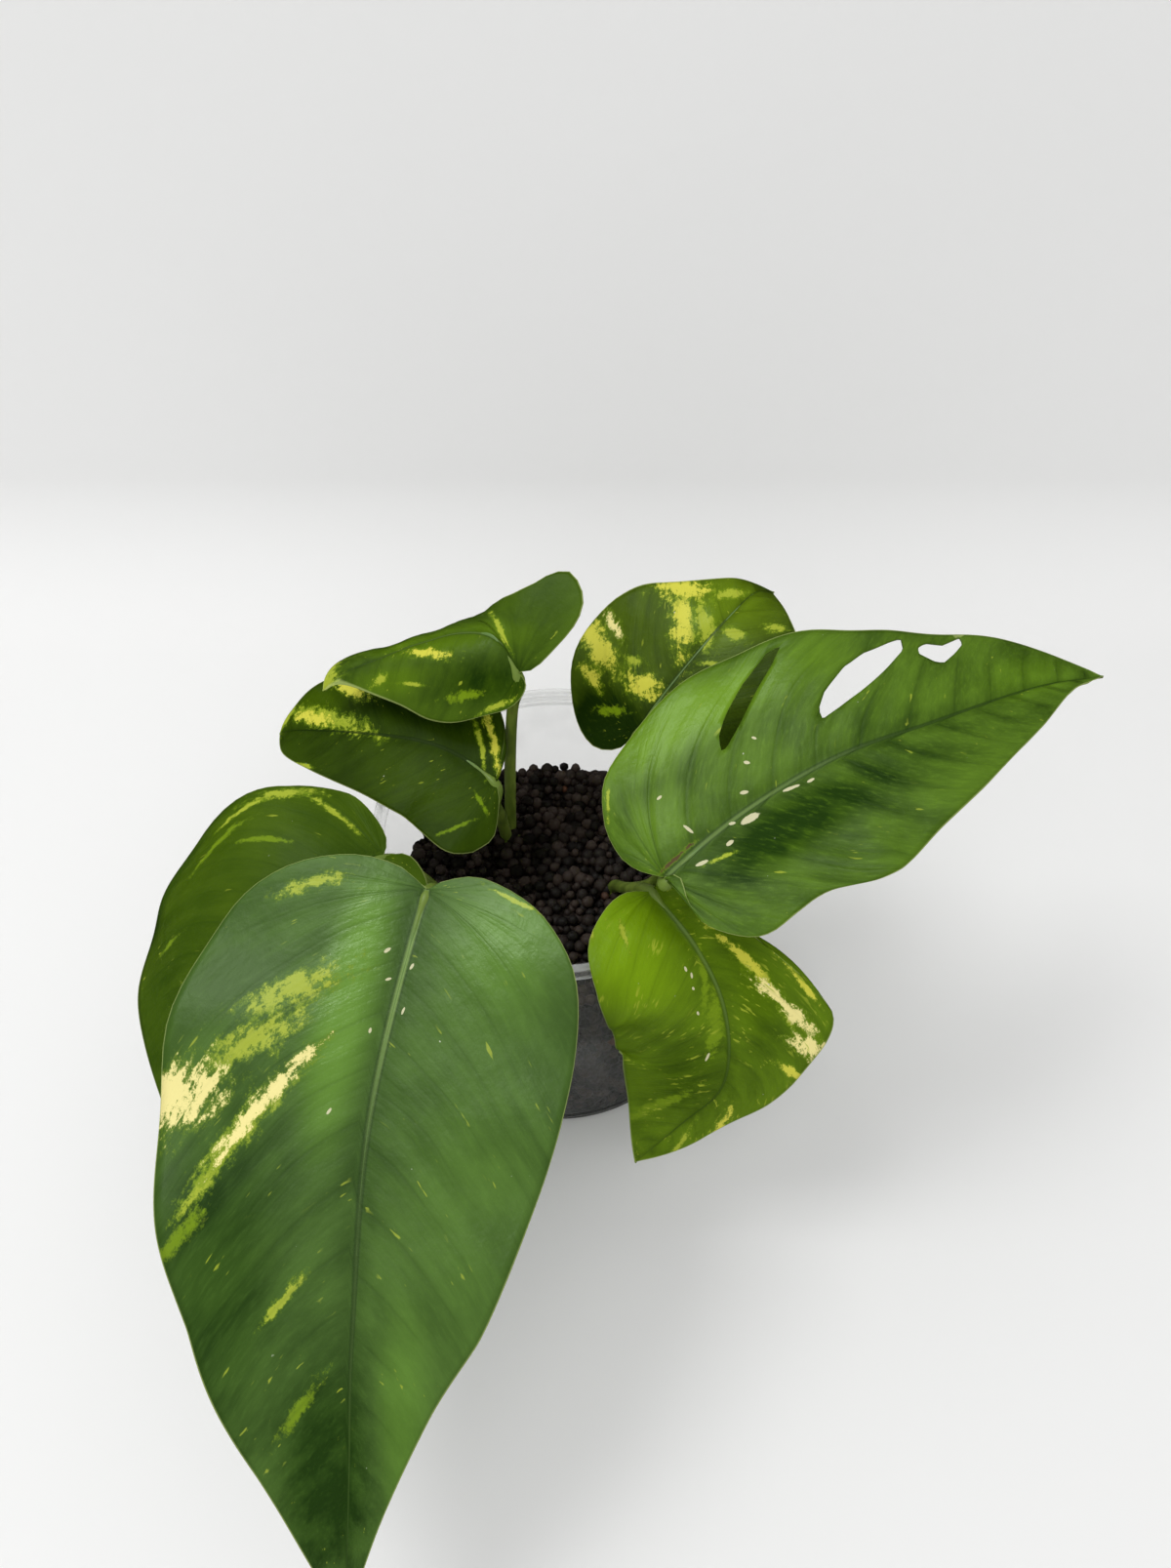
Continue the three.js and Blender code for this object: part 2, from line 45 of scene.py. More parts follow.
# The studio: a pale paper sweep that rises behind the plant, a soft lamp high on its left that gives
# the leaves their sheen, two wide lamps behind and in front, and the camera that looks down at the pot.
SWEEP_BACK = 0.155
SWEEP_RADIUS = 0.05
SWEEP_HEIGHT = 0.36
SWEEP_FRONT = 1.6
SWEEP_REACH = 2.4
SWEEP_STEPS = 25
CURVE_STEPS = 23
PAPER_WHITE = (0.86, 0.86, 0.855, 1)


def sweep_profile(step):
    """How far back and how high the paper is at one of its steps: flat, curved, then upright."""
    if step < 2:
        return (-SWEEP_FRONT + step * (SWEEP_FRONT + SWEEP_BACK), 0.0)
    if step <= CURVE_STEPS:
        turn = math.pi / 2 * (step - 1) / CURVE_STEPS
        return (SWEEP_BACK + SWEEP_RADIUS * math.sin(turn), SWEEP_RADIUS * (1 - math.cos(turn)))
    return (SWEEP_BACK + SWEEP_RADIUS, SWEEP_RADIUS + (step - CURVE_STEPS) / 2 * SWEEP_HEIGHT)


def grid_laid(name, columns, rows, place):
    """A flat grid whose points are laid where place(column, row) puts them, in millimetres."""
    bpy.ops.object.select_all(action="DESELECT")
    bpy.ops.mesh.primitive_grid_add(x_subdivisions=columns, y_subdivisions=rows, size=2)
    piece = bpy.context.object
    piece.name = name
    piece.data.name = name
    cells = []
    for point in piece.data.vertices:
        column = round((point.co.x + 1) / 2 * columns)
        row = round((point.co.y + 1) / 2 * rows)
        cells.append((column, row))
    for point, cell in zip(piece.data.vertices, cells):
        point.co = Vector(place(*cell)) * MM
    return piece, cells


def paper_point(column, row):
    """A point of the sweep: flat in front, then rising."""
    back, height = sweep_profile(row)
    return ((column / 2 - 1) * SWEEP_REACH / MM, back / MM, height / MM)


sweep, _ = grid_laid("paper_sweep", 4, SWEEP_STEPS, paper_point)
bpy.ops.object.shade_smooth()
paper = bpy.data.materials.new("paper")
paper.use_nodes = True
paper_face = paper.node_tree.nodes["Principled BSDF"]
paper_face.inputs["Base Color"].default_value = PAPER_WHITE
paper_face.inputs["Roughness"].default_value = 0.9
sweep.data.materials.append(paper)
sweep.visible_glossy = False

# Seen from behind, the paper is clear, so that it never hides the plant, and a plain floor goes on.
sight = paper.node_tree.nodes.new("ShaderNodeNewGeometry")
front = paper.node_tree.nodes.new("ShaderNodeMath")
front.operation = "SUBTRACT"
front.inputs[0].default_value = 1
paper.node_tree.links.new(sight.outputs["Backfacing"], front.inputs[1])
paper.node_tree.links.new(front.outputs[0], paper_face.inputs["Alpha"])


def floor_point(column, row):
    """A point of the floor behind the sweep."""
    return ((column / 2 - 1) * SWEEP_REACH / MM, (SWEEP_BACK + row * SWEEP_FRONT) / MM, 0)


floor, _ = grid_laid("floor_behind", 4, 1, floor_point)
floor.data.materials.append(paper)
floor.visible_glossy = False


def soft_lamp(name, place, aim, width, watts):
    """A square soft lamp that faces a point."""
    lamp = bpy.data.lights.new(name, "AREA")
    lamp.shape = "SQUARE"
    lamp.size = width
    lamp.energy = watts
    holder = bpy.data.objects.new(name, lamp)
    holder.location = place
    holder.rotation_euler = (Vector(aim) - Vector(place)).to_track_quat("-Z", "Y").to_euler()
    bpy.context.scene.collection.objects.link(holder)
    return holder


soft_lamp("lamp_top", (-0.46, 0.02, 1.1), (0, -0.03, 0.09), 0.4, 3.4)
lamp_back = soft_lamp("lamp_back", (-0.42, 0.5, 1.1), (0, -0.02, 0.05), 1.0, 1.5)
lamp_back.visible_glossy = False
lamp_front = soft_lamp("lamp_front", (-0.1, -1.0, 1.1), (0, -0.02, 0.1), 1.0, 3.6)
lamp_front.visible_glossy = False
room = bpy.data.worlds.new("room")
room.use_nodes = True
glow = room.node_tree.nodes["Background"]
glow.inputs["Color"].default_value = (1, 1, 1, 1)
glow.inputs["Strength"].default_value = 0.72
room.cycles_visibility.glossy = False
bpy.context.scene.world = room

lens = bpy.data.cameras.new("camera")
lens.lens = 26
lens.sensor_width = 36
lens.clip_start = 0.01
camera = bpy.data.objects.new("camera", lens)
camera.location = (0.0075, -0.181, 0.306)
camera.rotation_euler = (math.radians(41), 0, 0)
bpy.context.scene.collection.objects.link(camera)
bpy.context.scene.camera = camera
bpy.context.scene.view_settings.view_transform = "Standard"

# The pot: one thin cup of clear plastic, vacuum-formed, with a rolled rim below its lip and a flat base.
# Its wall is faintly hazy, with dried water marks inside and fine upright scuffs outside. The rolled rim is
# painted paler with painted highlight lines, and the bottom is painted dark as a painted shadow.
CUP_HEIGHT = 86
CUP_BASE_RADIUS = 42
CUP_TOP_RADIUS = 44.8
CUP_PROFILE = [
    (0, 0), (34, 0), (35, 0.6), (39.2, 0.6), (40.4, 0), (41.6, 0.5), (42.05, 1.6), (42.9, 28), (43.8, 55),
    (44.6, 81.4), (45.2, 81.7), (45.9, 82.1), (46.15, 82.8), (46.15, 84.8), (45.9, 85.5), (45.2, 86),
    (44.3, 86), (43.75, 85.5), (43.5, 84.2), (43.4, 81.2), (42.6, 55), (41.7, 28), (41.1, 2.4), (40.5, 1.5),
    (38, 1.4), (0, 1.4),
]
CUP_SIDES = 120


class Tone:
    """A value on its way through a material: its sums and products are Math nodes."""

    def __init__(self, tree, socket):
        self.tree = tree
        self.socket = socket

    def join(self, kind, settings=None, values=None, out=0):
        """One more node, with its settings first and then the values or links of its sockets."""
        node = self.tree.nodes.new(kind)
        for name, value in (settings or {}).items():
            setattr(node, name, value)
        for name, value in (values or {}).items():
            if isinstance(value, Tone):
                self.tree.links.new(value.socket, node.inputs[name])
            else:
                node.inputs[name].default_value = value
        return Tone(self.tree, node.outputs[out])

    def sum_of(self, operation, *values):
        """A Math node on values and numbers."""
        return self.join("ShaderNodeMath", {"operation": operation}, dict(enumerate(values)))

    def apply(self, operation):
        """A Math node on this value alone."""
        return self.sum_of(operation, self)

    def axis(self, index):
        """One of the three numbers of this vector."""
        return self.join("ShaderNodeSeparateXYZ", None, {0: self}, out=index)

    def __add__(self, other):
        return self.sum_of("ADD", self, other)

    def __radd__(self, other):
        return self.sum_of("ADD", other, self)

    def __sub__(self, other):
        return self.sum_of("SUBTRACT", self, other)

    def __rsub__(self, other):
        return self.sum_of("SUBTRACT", other, self)

    def __mul__(self, other):
        return self.sum_of("MULTIPLY", self, other)

    def __rmul__(self, other):
        return self.sum_of("MULTIPLY", other, self)

    def __truediv__(self, other):
        return self.sum_of("DIVIDE", self, other)

    def __pow__(self, other):
        return self.sum_of("POWER", self, other)

    def fade(self, low, high, start=0.0, end=1.0):
        """A smooth step from start to end as the value goes from low to high."""
        return self.join(
            "ShaderNodeMapRange",
            {"interpolation_type": "SMOOTHSTEP"},
            {"Value": self, "From Min": low, "From Max": high, "To Min": start, "To Max": end},
        )

    def blend(self, amount, start, end):
        """A colour between two, by an amount."""
        ends = {"Factor": amount, 6: start, 7: end}
        return self.join("ShaderNodeMix", {"data_type": "RGBA"}, ends, out=2)

    def tint(self, colour, amount):
        """This colour, mixed with another by an amount."""
        return self.blend(amount, self, colour)

    def speckle(self, size, detail=2, rough=0.5, stretch=(1, 1, 1)):
        """Noise of a grain size in millimetres, from 0 to 1, over a place given in metres."""
        place = self.join("ShaderNodeVectorMath", {"operation": "MULTIPLY"}, {0: self, 1: stretch})
        return self.join(
            "ShaderNodeTexNoise",
            None,
            {"Vector": place, "Scale": 1000 / size, "Detail": detail, "Roughness": rough},
        )


def new_finish(name):
    """An empty material: its surface node and the Object coordinates of the piece."""
    material = bpy.data.materials.new(name)
    material.use_nodes = True
    tree = material.node_tree
    surface = tree.nodes["Principled BSDF"]
    start = Tone(tree, surface.inputs[0])
    place = start.join("ShaderNodeTexCoord", out=3)
    return material, surface, place


def feed(surface, name, tone):
    """Link a value to a socket of the surface."""
    tone.tree.links.new(tone.socket, surface.inputs[name])


def dents(surface, height, strength, depth):
    """Let a height show in the light on the surface, its depth in metres."""
    bump = height.join("ShaderNodeBump", None, {"Height": height, "Strength": strength, "Distance": depth})
    feed(surface, "Normal", bump)


def cup_point(column, row):
    """A point of the cup's profile turned about its axis."""
    radius, height = CUP_PROFILE[row]
    turn = -2 * math.pi * column / CUP_SIDES
    return (radius * math.cos(turn), radius * math.sin(turn), height)


def picked(piece):
    """Select one piece alone and make it the active one."""
    bpy.ops.object.select_all(action="DESELECT")
    piece.select_set(True)
    bpy.context.view_layer.objects.active = piece


def merged(piece, gap=0.00002):
    """Close seams and poles, smooth the shading, and leave nothing selected."""
    picked(piece)
    bpy.ops.object.mode_set(mode="EDIT")
    bpy.ops.mesh.select_all(action="SELECT")
    bpy.ops.mesh.remove_doubles(threshold=gap)
    bpy.ops.mesh.dissolve_degenerate(threshold=0.000001)
    bpy.ops.mesh.normals_make_consistent(inside=False)
    bpy.ops.object.mode_set(mode="OBJECT")
    bpy.ops.object.shade_smooth()
    bpy.ops.object.select_all(action="DESELECT")


cup, _ = grid_laid("clear_cup", CUP_SIDES, len(CUP_PROFILE) - 1, cup_point)
merged(cup)
picked(cup)
bpy.ops.object.shade_smooth_by_angle(angle=math.radians(38))

clear, surface, place = new_finish("clear_plastic")
height = place.axis(2)
swirl = place.speckle(26, 4, 0.6).fade(0.5, 0.72)
scuff = place.speckle(2.2, 3, 0.6, (1, 1, 0.12)).fade(0.55, 0.8)
damp = place.speckle(9, 3, 0.6).fade(0.35, 0.65) * height.fade(0.052, 0.061, 1, 0)
edge = place.join("ShaderNodeLayerWeight", None, {"Blend": 0.25}, out=1)
# Above 81 mm the rolled rim is painted paler and more opaque as a painted highlight, and the bands along the
# lip are painted highlight lines.
rim = height.fade(0.0810, 0.0816)
painted_lip_highlights = height.fade(0.0853, 0.0858) + height.fade(0.0814, 0.0819) * height.fade(0.0823, 0.0828, 1, 0)
# The bottom few millimetres are painted near black and almost opaque: a painted shadow at the cup's base.
foot = height.fade(0.0016, 0.0034, 1, 0)
haze = 0.03 + foot * 0.8 + edge * 0.07 + swirl * 0.05 + scuff * 0.035 + rim * 0.1 + painted_lip_highlights * 0.25
feed(surface, "Alpha", haze)
feed(surface, "Roughness", 0.09 + swirl * 0.12 + damp * 0.1)
plastic = place.blend(rim, (0.60, 0.61, 0.59, 1), (0.88, 0.89, 0.88, 1))
feed(surface, "Base Color", plastic.tint((0.035, 0.034, 0.03, 1), foot))
surface.inputs["IOR"].default_value = 1.49
dents(surface, place.speckle(7, 2), 0.2, 0.0004)
cup.data.materials.append(clear)
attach(cup, "root")
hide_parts("pot")

# The fill: round baked granules, about 3 mm across and dark brown, poured in to a third below the rim.
# They lie loose on top and press flat against the clear wall; a few are fired a redder brown.
FILL_TOP = 59.2
GRANULE_RADIUS = 1.65
GRANULE_PITCH = 3.05
WALL_LEVELS = 21
LEVEL_PITCH = 2.62
CORE_FROM = 0.038
CORE_EDGE = 0.0395
CORE_TOP = 0.056
CORE_SUNK = 0.0558
FILL_SEED = 23


def inner_radius(height):
    """The inside of the cup's wall at a height."""
    return 40.8 + (CUP_TOP_RADIUS - CUP_BASE_RADIUS) * height / CUP_HEIGHT


def one_granule():
    """A granule of few faces, as a list of points and faces, modelled once."""
    bpy.ops.mesh.primitive_uv_sphere_add(segments=8, ring_count=6, radius=1)
    ball = bpy.context.object
    points = [point.co.copy() for point in ball.data.vertices]
    faces = [list(face.vertices) for face in ball.data.polygons]
    bpy.data.objects.remove(ball)
    return points, faces


def poured(name, places, rng):
    """Many granules in one piece, each with its own size, turn, squash and shade."""
    points = []
    faces = []
    shades = []
    for place, size, shade in places:
        turn = Quaternion((rng.gauss(0, 1), rng.gauss(0, 1), rng.gauss(0, 1), rng.gauss(0, 1))).normalized()
        squash = Vector((1, rng.uniform(0.88, 1.08), rng.uniform(0.82, 1.0)))
        first = len(points)
        for point in GRANULE_POINTS:
            lump = point * squash * size * (1 + 0.06 * math.sin(7 * point.x + 5 * point.y + first))
            points.append((turn @ lump + Vector(place)) * MM)
            shades.append(shade)
        faces += [[first + corner for corner in face] for face in GRANULE_FACES]
    mesh = bpy.data.meshes.new(name)
    mesh.from_pydata(points, [], faces)
    mesh.polygons.foreach_set("use_smooth", [True] * len(faces))
    kept = mesh.attributes.new("shade", "FLOAT", "POINT")
    kept.data.foreach_set("value", shades)
    piece = bpy.data.objects.new(name, mesh)
    bpy.context.scene.collection.objects.link(piece)
    return piece


GRANULE_POINTS, GRANULE_FACES = one_granule()
chance = random.Random(FILL_SEED)
top_places = []
reach = inner_radius(FILL_TOP) - GRANULE_RADIUS
for layer, lift in enumerate((0.0, -1.9)):
    for row in range(-16, 17):
        y = row * GRANULE_PITCH * 0.88 + layer * 1.4
        for column in range(-17, 18):
            x = (column + 0.5 * (row % 2)) * GRANULE_PITCH + layer * 1.1
            spot = Vector((x + chance.gauss(0, 0.42), y + chance.gauss(0, 0.42)))
            size = GRANULE_RADIUS * chance.uniform(0.62, 1.3)
            if spot.length > reach:
                continue
            rise = 0.55 * math.sin(spot.x * 0.13 + 1) * math.cos(spot.y * 0.11)
            tall = FILL_TOP + lift + rise + chance.gauss(0, 0.3) - size * 0.4
            top_places.append(((spot.x, spot.y, tall), size, chance.random()))
wall_places = []
for level in range(WALL_LEVELS):
    tall = 1.5 + GRANULE_RADIUS + level * LEVEL_PITCH
    around = int(2 * math.pi * (inner_radius(tall) - GRANULE_RADIUS) / GRANULE_PITCH)
    for count in range(around):
        size = GRANULE_RADIUS * chance.uniform(0.86, 1.1)
        turn = 2 * math.pi * (count + 0.5 * (level % 2) + chance.gauss(0, 0.12)) / around
        out = inner_radius(tall) - size - 0.1 - abs(chance.gauss(0, 0.35))
        high = min(tall + chance.gauss(0, 0.3), FILL_TOP - 1)
        wall_places.append(((out * math.cos(turn), out * math.sin(turn), high), size, chance.random()))

baked, surface, place = new_finish("baked_granules")
shade = place.join("ShaderNodeAttribute", {"attribute_name": "shade"}, out=2)
pores = place.speckle(0.5, 3, 0.6)
clay = place.blend(shade.fade(0, 1), (0.007, 0.004, 0.003, 1), (0.045, 0.028, 0.020, 1))
clay = clay.tint((0.12, 0.045, 0.02, 1), shade.fade(0.982, 0.99))
clay = clay.tint((0.04, 0.028, 0.02, 1), pores.fade(0.58, 0.72) * 0.6)
feed(surface, "Base Color", clay)
feed(surface, "Roughness", 0.5 + pores * 0.3)
dents(surface, pores, 0.5, 0.0003)
for name, places in (("granules_on_top", top_places), ("granules_at_wall", wall_places)):
    granules = poured(name, places, chance)
    granules.data.materials.append(baked)
    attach(granules, "root")
    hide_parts("soil")


def fill_core():
    """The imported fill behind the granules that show: the solid's own form, drawn in a little."""
    core = bpy.data.objects.new("fill_core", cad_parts["soil"].data.copy())
    core.data.materials.clear()
    bpy.context.scene.collection.objects.link(core)
    for point in core.data.vertices:
        flat = Vector((point.co.x, point.co.y))
        if flat.length > CORE_FROM:
            flat *= CORE_EDGE / flat.length
            point.co.x = flat.x
            point.co.y = flat.y
        if point.co.z > CORE_TOP:
            point.co.z = CORE_SUNK + (point.co.z - CORE_TOP) * 0.25
    return core


core = fill_core()
core.data.materials.append(baked)
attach(core, "root")
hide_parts("soil")

# The stems: four short cut stems that stand in the fill, each with three thick roots that go down
# from its foot. They grew as one body, olive at the top and corky brown below, and stay hidden.
stem_bark, surface, place = new_finish("stem_bark")
height = place.axis(2)
cork = place.speckle(1.6, 4, 0.6, (1, 1, 0.4))
skin = place.blend(height.fade(0.040, 0.054), (0.22, 0.13, 0.06, 1), (0.16, 0.2, 0.05, 1))
feed(surface, "Base Color", skin.tint((0.08, 0.05, 0.03, 1), cork.fade(0.5, 0.7) * 0.7))
feed(surface, "Roughness", 0.5 + cork * 0.3)
dents(surface, cork, 0.6, 0.0005)
for name in ("stem_back_left", "stem_front_left", "stem_right", "stem_back_right"):
    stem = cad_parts[name]
    stem.data.materials.clear()
    stem.data.materials.append(stem_bark)

# The leaves: each a thin heart-shaped blade on one midrib, satin above, with its veins sunk between
# faint quilts and a thin pale margin. One grown body with its stalk, which is thickened at the blade.
# Their green carries broad patches of painted light, sheen and shade, and painted shade in the sunk veins.
BLADE_THICKNESS = 0.42
STALK_RADIUS = 1.65
KNUCKLE_RADIUS = 1.6
RIB_RADIUS = 0.8
RIB_TAPER = 0.8
RIB_STEP = 6.0
GROOVE_DEPTH = 0.35
GROOVE_WIDTH = 1.6
HOLE_EDGE = 1.6
HOLE_REST = 0.3
COLUMNS = 22
FAN_ROWS = 22
ROW_PITCH = 1.25
SPINE_STEPS = 60
EDGE_STEPS = 24
EDGE_SAMPLES = 500
STALK_STEPS = 9
STALK_SIDES = 14
FILL_SURFACE = 57.1
STALK_UPRIGHT = 60.8


def through(points, steps):
    """A smooth curve through points, its two ends reflected."""
    points = [Vector(point) for point in points]
    run = [2 * points[0] - points[1], *points, 2 * points[-1] - points[-2]]
    curve = []
    for first, second, third, fourth in zip(run, run[1:], run[2:], run[3:]):
        leave = (third - first) / 2
        arrive = (fourth - second) / 2
        for step in range(steps):
            t = step / steps
            point = (2 * t**3 - 3 * t**2 + 1) * second + (t**3 - 2 * t**2 + t) * leave
            point += (3 * t**2 - 2 * t**3) * third + (t**3 - t**2) * arrive
            curve.append(point)
    return curve + [points[-1].copy()]


def lengths(curve):
    """How far each point of a curve is along it."""
    run = [0.0]
    for start, end in zip(curve, curve[1:]):
        run.append(run[-1] + (end - start).length)
    return run


def along(curve, run, far):
    """The point of a curve at a distance along it, straight on past its ends."""
    if far <= 0:
        return curve[0] + (curve[1] - curve[0]).normalized() * far
    if far >= run[-1]:
        return curve[-1] + (curve[-1] - curve[-2]).normalized() * (far - run[-1])
    index = min(bisect.bisect_right(run, far), len(run) - 1)
    part = (far - run[index - 1]) / (run[index] - run[index - 1])
    return curve[index - 1].lerp(curve[index], part)


def eased(values, t):
    """A value of an evenly spaced list at t from 0 to 1, eased between its entries."""
    x = min(max(t, 0), 1) * (len(values) - 1)
    index = min(int(x), len(values) - 2)
    w = x - index
    w = w * w * (3 - 2 * w)
    return values[index] * (1 - w) + values[index + 1] * w


def softened(x):
    """Zero for a point beside the heart's base, and its distance further on."""
    return (x + math.hypot(x, 6) - 6) / 2


class Blade:
    """A blade: its midrib in space, and how its two halves fold and curl away from it."""

    def __init__(self, spine, side, fold, curl, bow, wave, left, right):
        self.curve = through(spine, SPINE_STEPS)
        self.run = lengths(self.curve)
        self.heel = self.run[SPINE_STEPS]
        self.length = self.run[-1] - self.heel
        self.side = [Vector(vector) for vector in side]
        self.fold = fold
        self.curl = curl
        self.bow = bow
        self.wave = wave
        self.edges = []
        for half in (left, right):
            points = [(a, b, 0) for a, b in half] + [(self.length, 0, 0)]
            curve = through(points, EDGE_STEPS)
            self.edges.append((curve, lengths(curve)))

    def midrib(self, a):
        """How far the midrib bows sideways at a distance from the base."""
        return self.bow * math.sin(math.pi * min(max(a / self.length, 0), 1) ** 0.6)

    def ripple(self, a, b):
        """The height of the margin's waves."""
        height, pitch, phase = self.wave
        return height * (b / 30) ** 2 * math.sin(2 * math.pi * a / pitch + phase + (1.7 if b > 0 else 0))

    def lift(self, a, b, rise):
        """The point in space of a flat place on the blade, raised by a little."""
        spot = along(self.curve, self.run, a + self.heel)
        ahead = along(self.curve, self.run, a + self.heel + 1)
        ahead = (ahead - along(self.curve, self.run, a + self.heel - 1)).normalized()
        t = a / self.length
        across = eased(self.side, t)
        across = (across - across.dot(ahead) * ahead).normalized()
        up = across.cross(ahead)
        half = 1 if b > 0 else 0
        sign = 1 if b > 0 else -1
        fold = math.radians(eased(self.fold[half], t))
        curl = math.radians(eased(self.curl[half], t))
        wide = abs(b)
        if abs(curl) < 1e-5:
            out = wide * math.cos(fold)
            high = wide * math.sin(fold)
        else:
            out = (math.sin(fold + curl * wide) - math.sin(fold)) / curl
            high = (math.cos(fold) - math.cos(fold + curl * wide)) / curl
        tilt = fold + curl * wide
        face = up * math.cos(tilt) - across * math.sin(tilt) * sign
        return spot + sign * out * across + (high + self.ripple(a, b)) * up + face * rise

    def vein_start(self, a, b):
        """Where on the midrib the vein begins that reaches a place on the margin."""
        return max(0, softened(a - abs(b))) * self.length / softened(self.length)

    def rows(self, pitch):
        """Lines from midrib to margin, base to tip: their start, two margin places, and vein count."""
        ends = []
        for curve, run in self.edges:
            samples = [along(curve, run, run[-1] * k / EDGE_SAMPLES) for k in range(EDGE_SAMPLES + 1)]
            starts = []
            highest = 0
            for k, spot in enumerate(samples):
                highest = max(highest, self.vein_start(spot.x, spot.y))
                starts.append(highest)
            turn = max(k for k, spot in enumerate(samples) if self.vein_start(spot.x, spot.y) <= 0.001)
            starts = [0] * (turn + 1) + [max(start, 0.001) for start in starts[turn + 1:]]
            ends.append((samples, starts, turn))
        body = round(self.length / ROW_PITCH)
        lines = []
        for row in range(FAN_ROWS):
            pair = [samples[round(turn * row / FAN_ROWS)] for samples, starts, turn in ends]
            lines.append((0.0, pair, (row / FAN_ROWS - 1) * 3))
        for row in range(body + 1):
            start = self.length * row / body
            pair = []
            for samples, starts, turn in ends:
                k = min(max(bisect.bisect_left(starts, start), turn + 1), EDGE_SAMPLES)
                before = starts[k - 1]
                part = (start - before) / max(starts[k] - before, 1e-6)
                pair.append(samples[k - 1].lerp(samples[k], min(max(part, 0), 1)))
            lines.append((start, pair, start / pitch))
        return lines

    def across_row(self, line, half, u):
        """The flat place at a share of the way from midrib to margin, along a vein."""
        start, pair, count = line
        end = pair[half]
        root = (start, self.midrib(start))
        bend = (start + 0.3 * (end.x - start), root[1] + 0.6 * (end.y - root[1]))
        a = (1 - u) ** 2 * root[0] + 2 * u * (1 - u) * bend[0] + u * u * end.x
        b = (1 - u) ** 2 * root[1] + 2 * u * (1 - u) * bend[1] + u * u * end.y
        return a, b


def inside(a, b, ring):
    """Whether a flat place lies in a ring of places."""
    found = False
    for (a0, b0), (a1, b1) in zip(ring, ring[1:] + ring[:1]):
        if (b0 > b) != (b1 > b) and a < (a1 - a0) * (b - b0) / (b1 - b0) + a0:
            found = not found
    return found


def nearest(a, b, ring):
    """The place on a ring that is nearest to a flat place."""
    best = None
    here = Vector((a, b))
    for start, end in zip(ring, ring[1:] + ring[:1]):
        start = Vector(start)
        line = Vector(end) - start
        part = min(max((here - start).dot(line) / line.length_squared, 0), 1)
        spot = start + line * part
        if best is None or (spot - here).length < (best - here).length:
            best = spot
    return best


def cut_hole(shape, blade, ring, place_tag, vein_tag):
    """Take the faces within a ring out of a blade and draw the edge that is left onto the ring."""
    gone = []
    for face in shape.faces:
        middle = sum((corner[place_tag] for corner in face.verts), Vector()) / len(face.verts) / MM
        if inside(middle.x, middle.y, ring):
            gone.append(face)
    touched = {corner for face in gone for corner in face.verts}
    bmesh.ops.delete(shape, geom=gone, context="FACES_ONLY")
    for point in [point for point in touched if point.is_valid]:
        if not point.link_faces:
            shape.verts.remove(point)
            continue
        a = point[place_tag].x / MM
        b = point[place_tag].y / MM
        best = nearest(a, b, ring)
        if (best - Vector((a, b))).length < HOLE_EDGE:
            point[place_tag] = (best.x * MM, best.y * MM, 0)
            point[vein_tag] = (point[vein_tag].x, point[vein_tag].y, HOLE_REST)
            point.co = blade.lift(best.x, best.y, 0) * MM


def blade_mesh(name, blade, pitch, quilt, holes):
    """The blade as one fine sheet, with its holes cut and its thickness given."""
    lines = blade.rows(pitch)
    flat = {}

    def spot(column, row):
        u = abs(column / COLUMNS - 1)
        half = 1 if column > COLUMNS else 0
        a, b = blade.across_row(lines[row], half, u)
        if abs(b) < 0.01:
            b = 0.01 if half else -0.01
        count = lines[row][2] + 0.5 * half
        puff = abs(math.sin(math.pi * count)) ** 0.7 - 0.4
        rise = quilt * puff * math.sin(math.pi * min(u, 1) ** 0.8) ** 0.8
        fall = -GROOVE_DEPTH * math.exp(-((u * abs(lines[row][1][half].y) / GROOVE_WIDTH) ** 2))
        reach = math.hypot(lines[row][1][half].x - lines[row][0], lines[row][1][half].y)
        flat[(column, row)] = (a, b, count, u, (1 - u) * reach)
        return blade.lift(a, b, rise + fall)

    piece, cells = grid_laid(name, 2 * COLUMNS, len(lines) - 1, spot)
    shape = bmesh.new()
    shape.from_mesh(piece.data)
    place_tag = shape.verts.layers.float_vector.new("flat")
    vein_tag = shape.verts.layers.float_vector.new("vein")
    for point, cell in zip(shape.verts, cells):
        a, b, count, u, rest = flat[cell]
        point[place_tag] = (a * MM, b * MM, 0)
        point[vein_tag] = (count, u, rest)
    for ring in holes:
        cut_hole(shape, blade, ring, place_tag, vein_tag)
    loose = [edge for edge in shape.edges if not edge.link_faces]
    bmesh.ops.delete(shape, geom=loose, context="EDGES")
    shape.to_mesh(piece.data)
    shape.free()
    picked(piece)
    bpy.ops.object.mode_set(mode="EDIT")
    bpy.ops.mesh.select_all(action="SELECT")
    bpy.ops.mesh.remove_doubles(threshold=0.00004)
    bpy.ops.object.mode_set(mode="OBJECT")
    wall = piece.modifiers.new("thickness", "SOLIDIFY")
    wall.thickness = BLADE_THICKNESS * MM
    wall.offset = -1
    bpy.ops.object.modifier_apply(modifier="thickness")
    bpy.ops.object.shade_smooth()
    bpy.ops.object.select_all(action="DESELECT")
    return piece


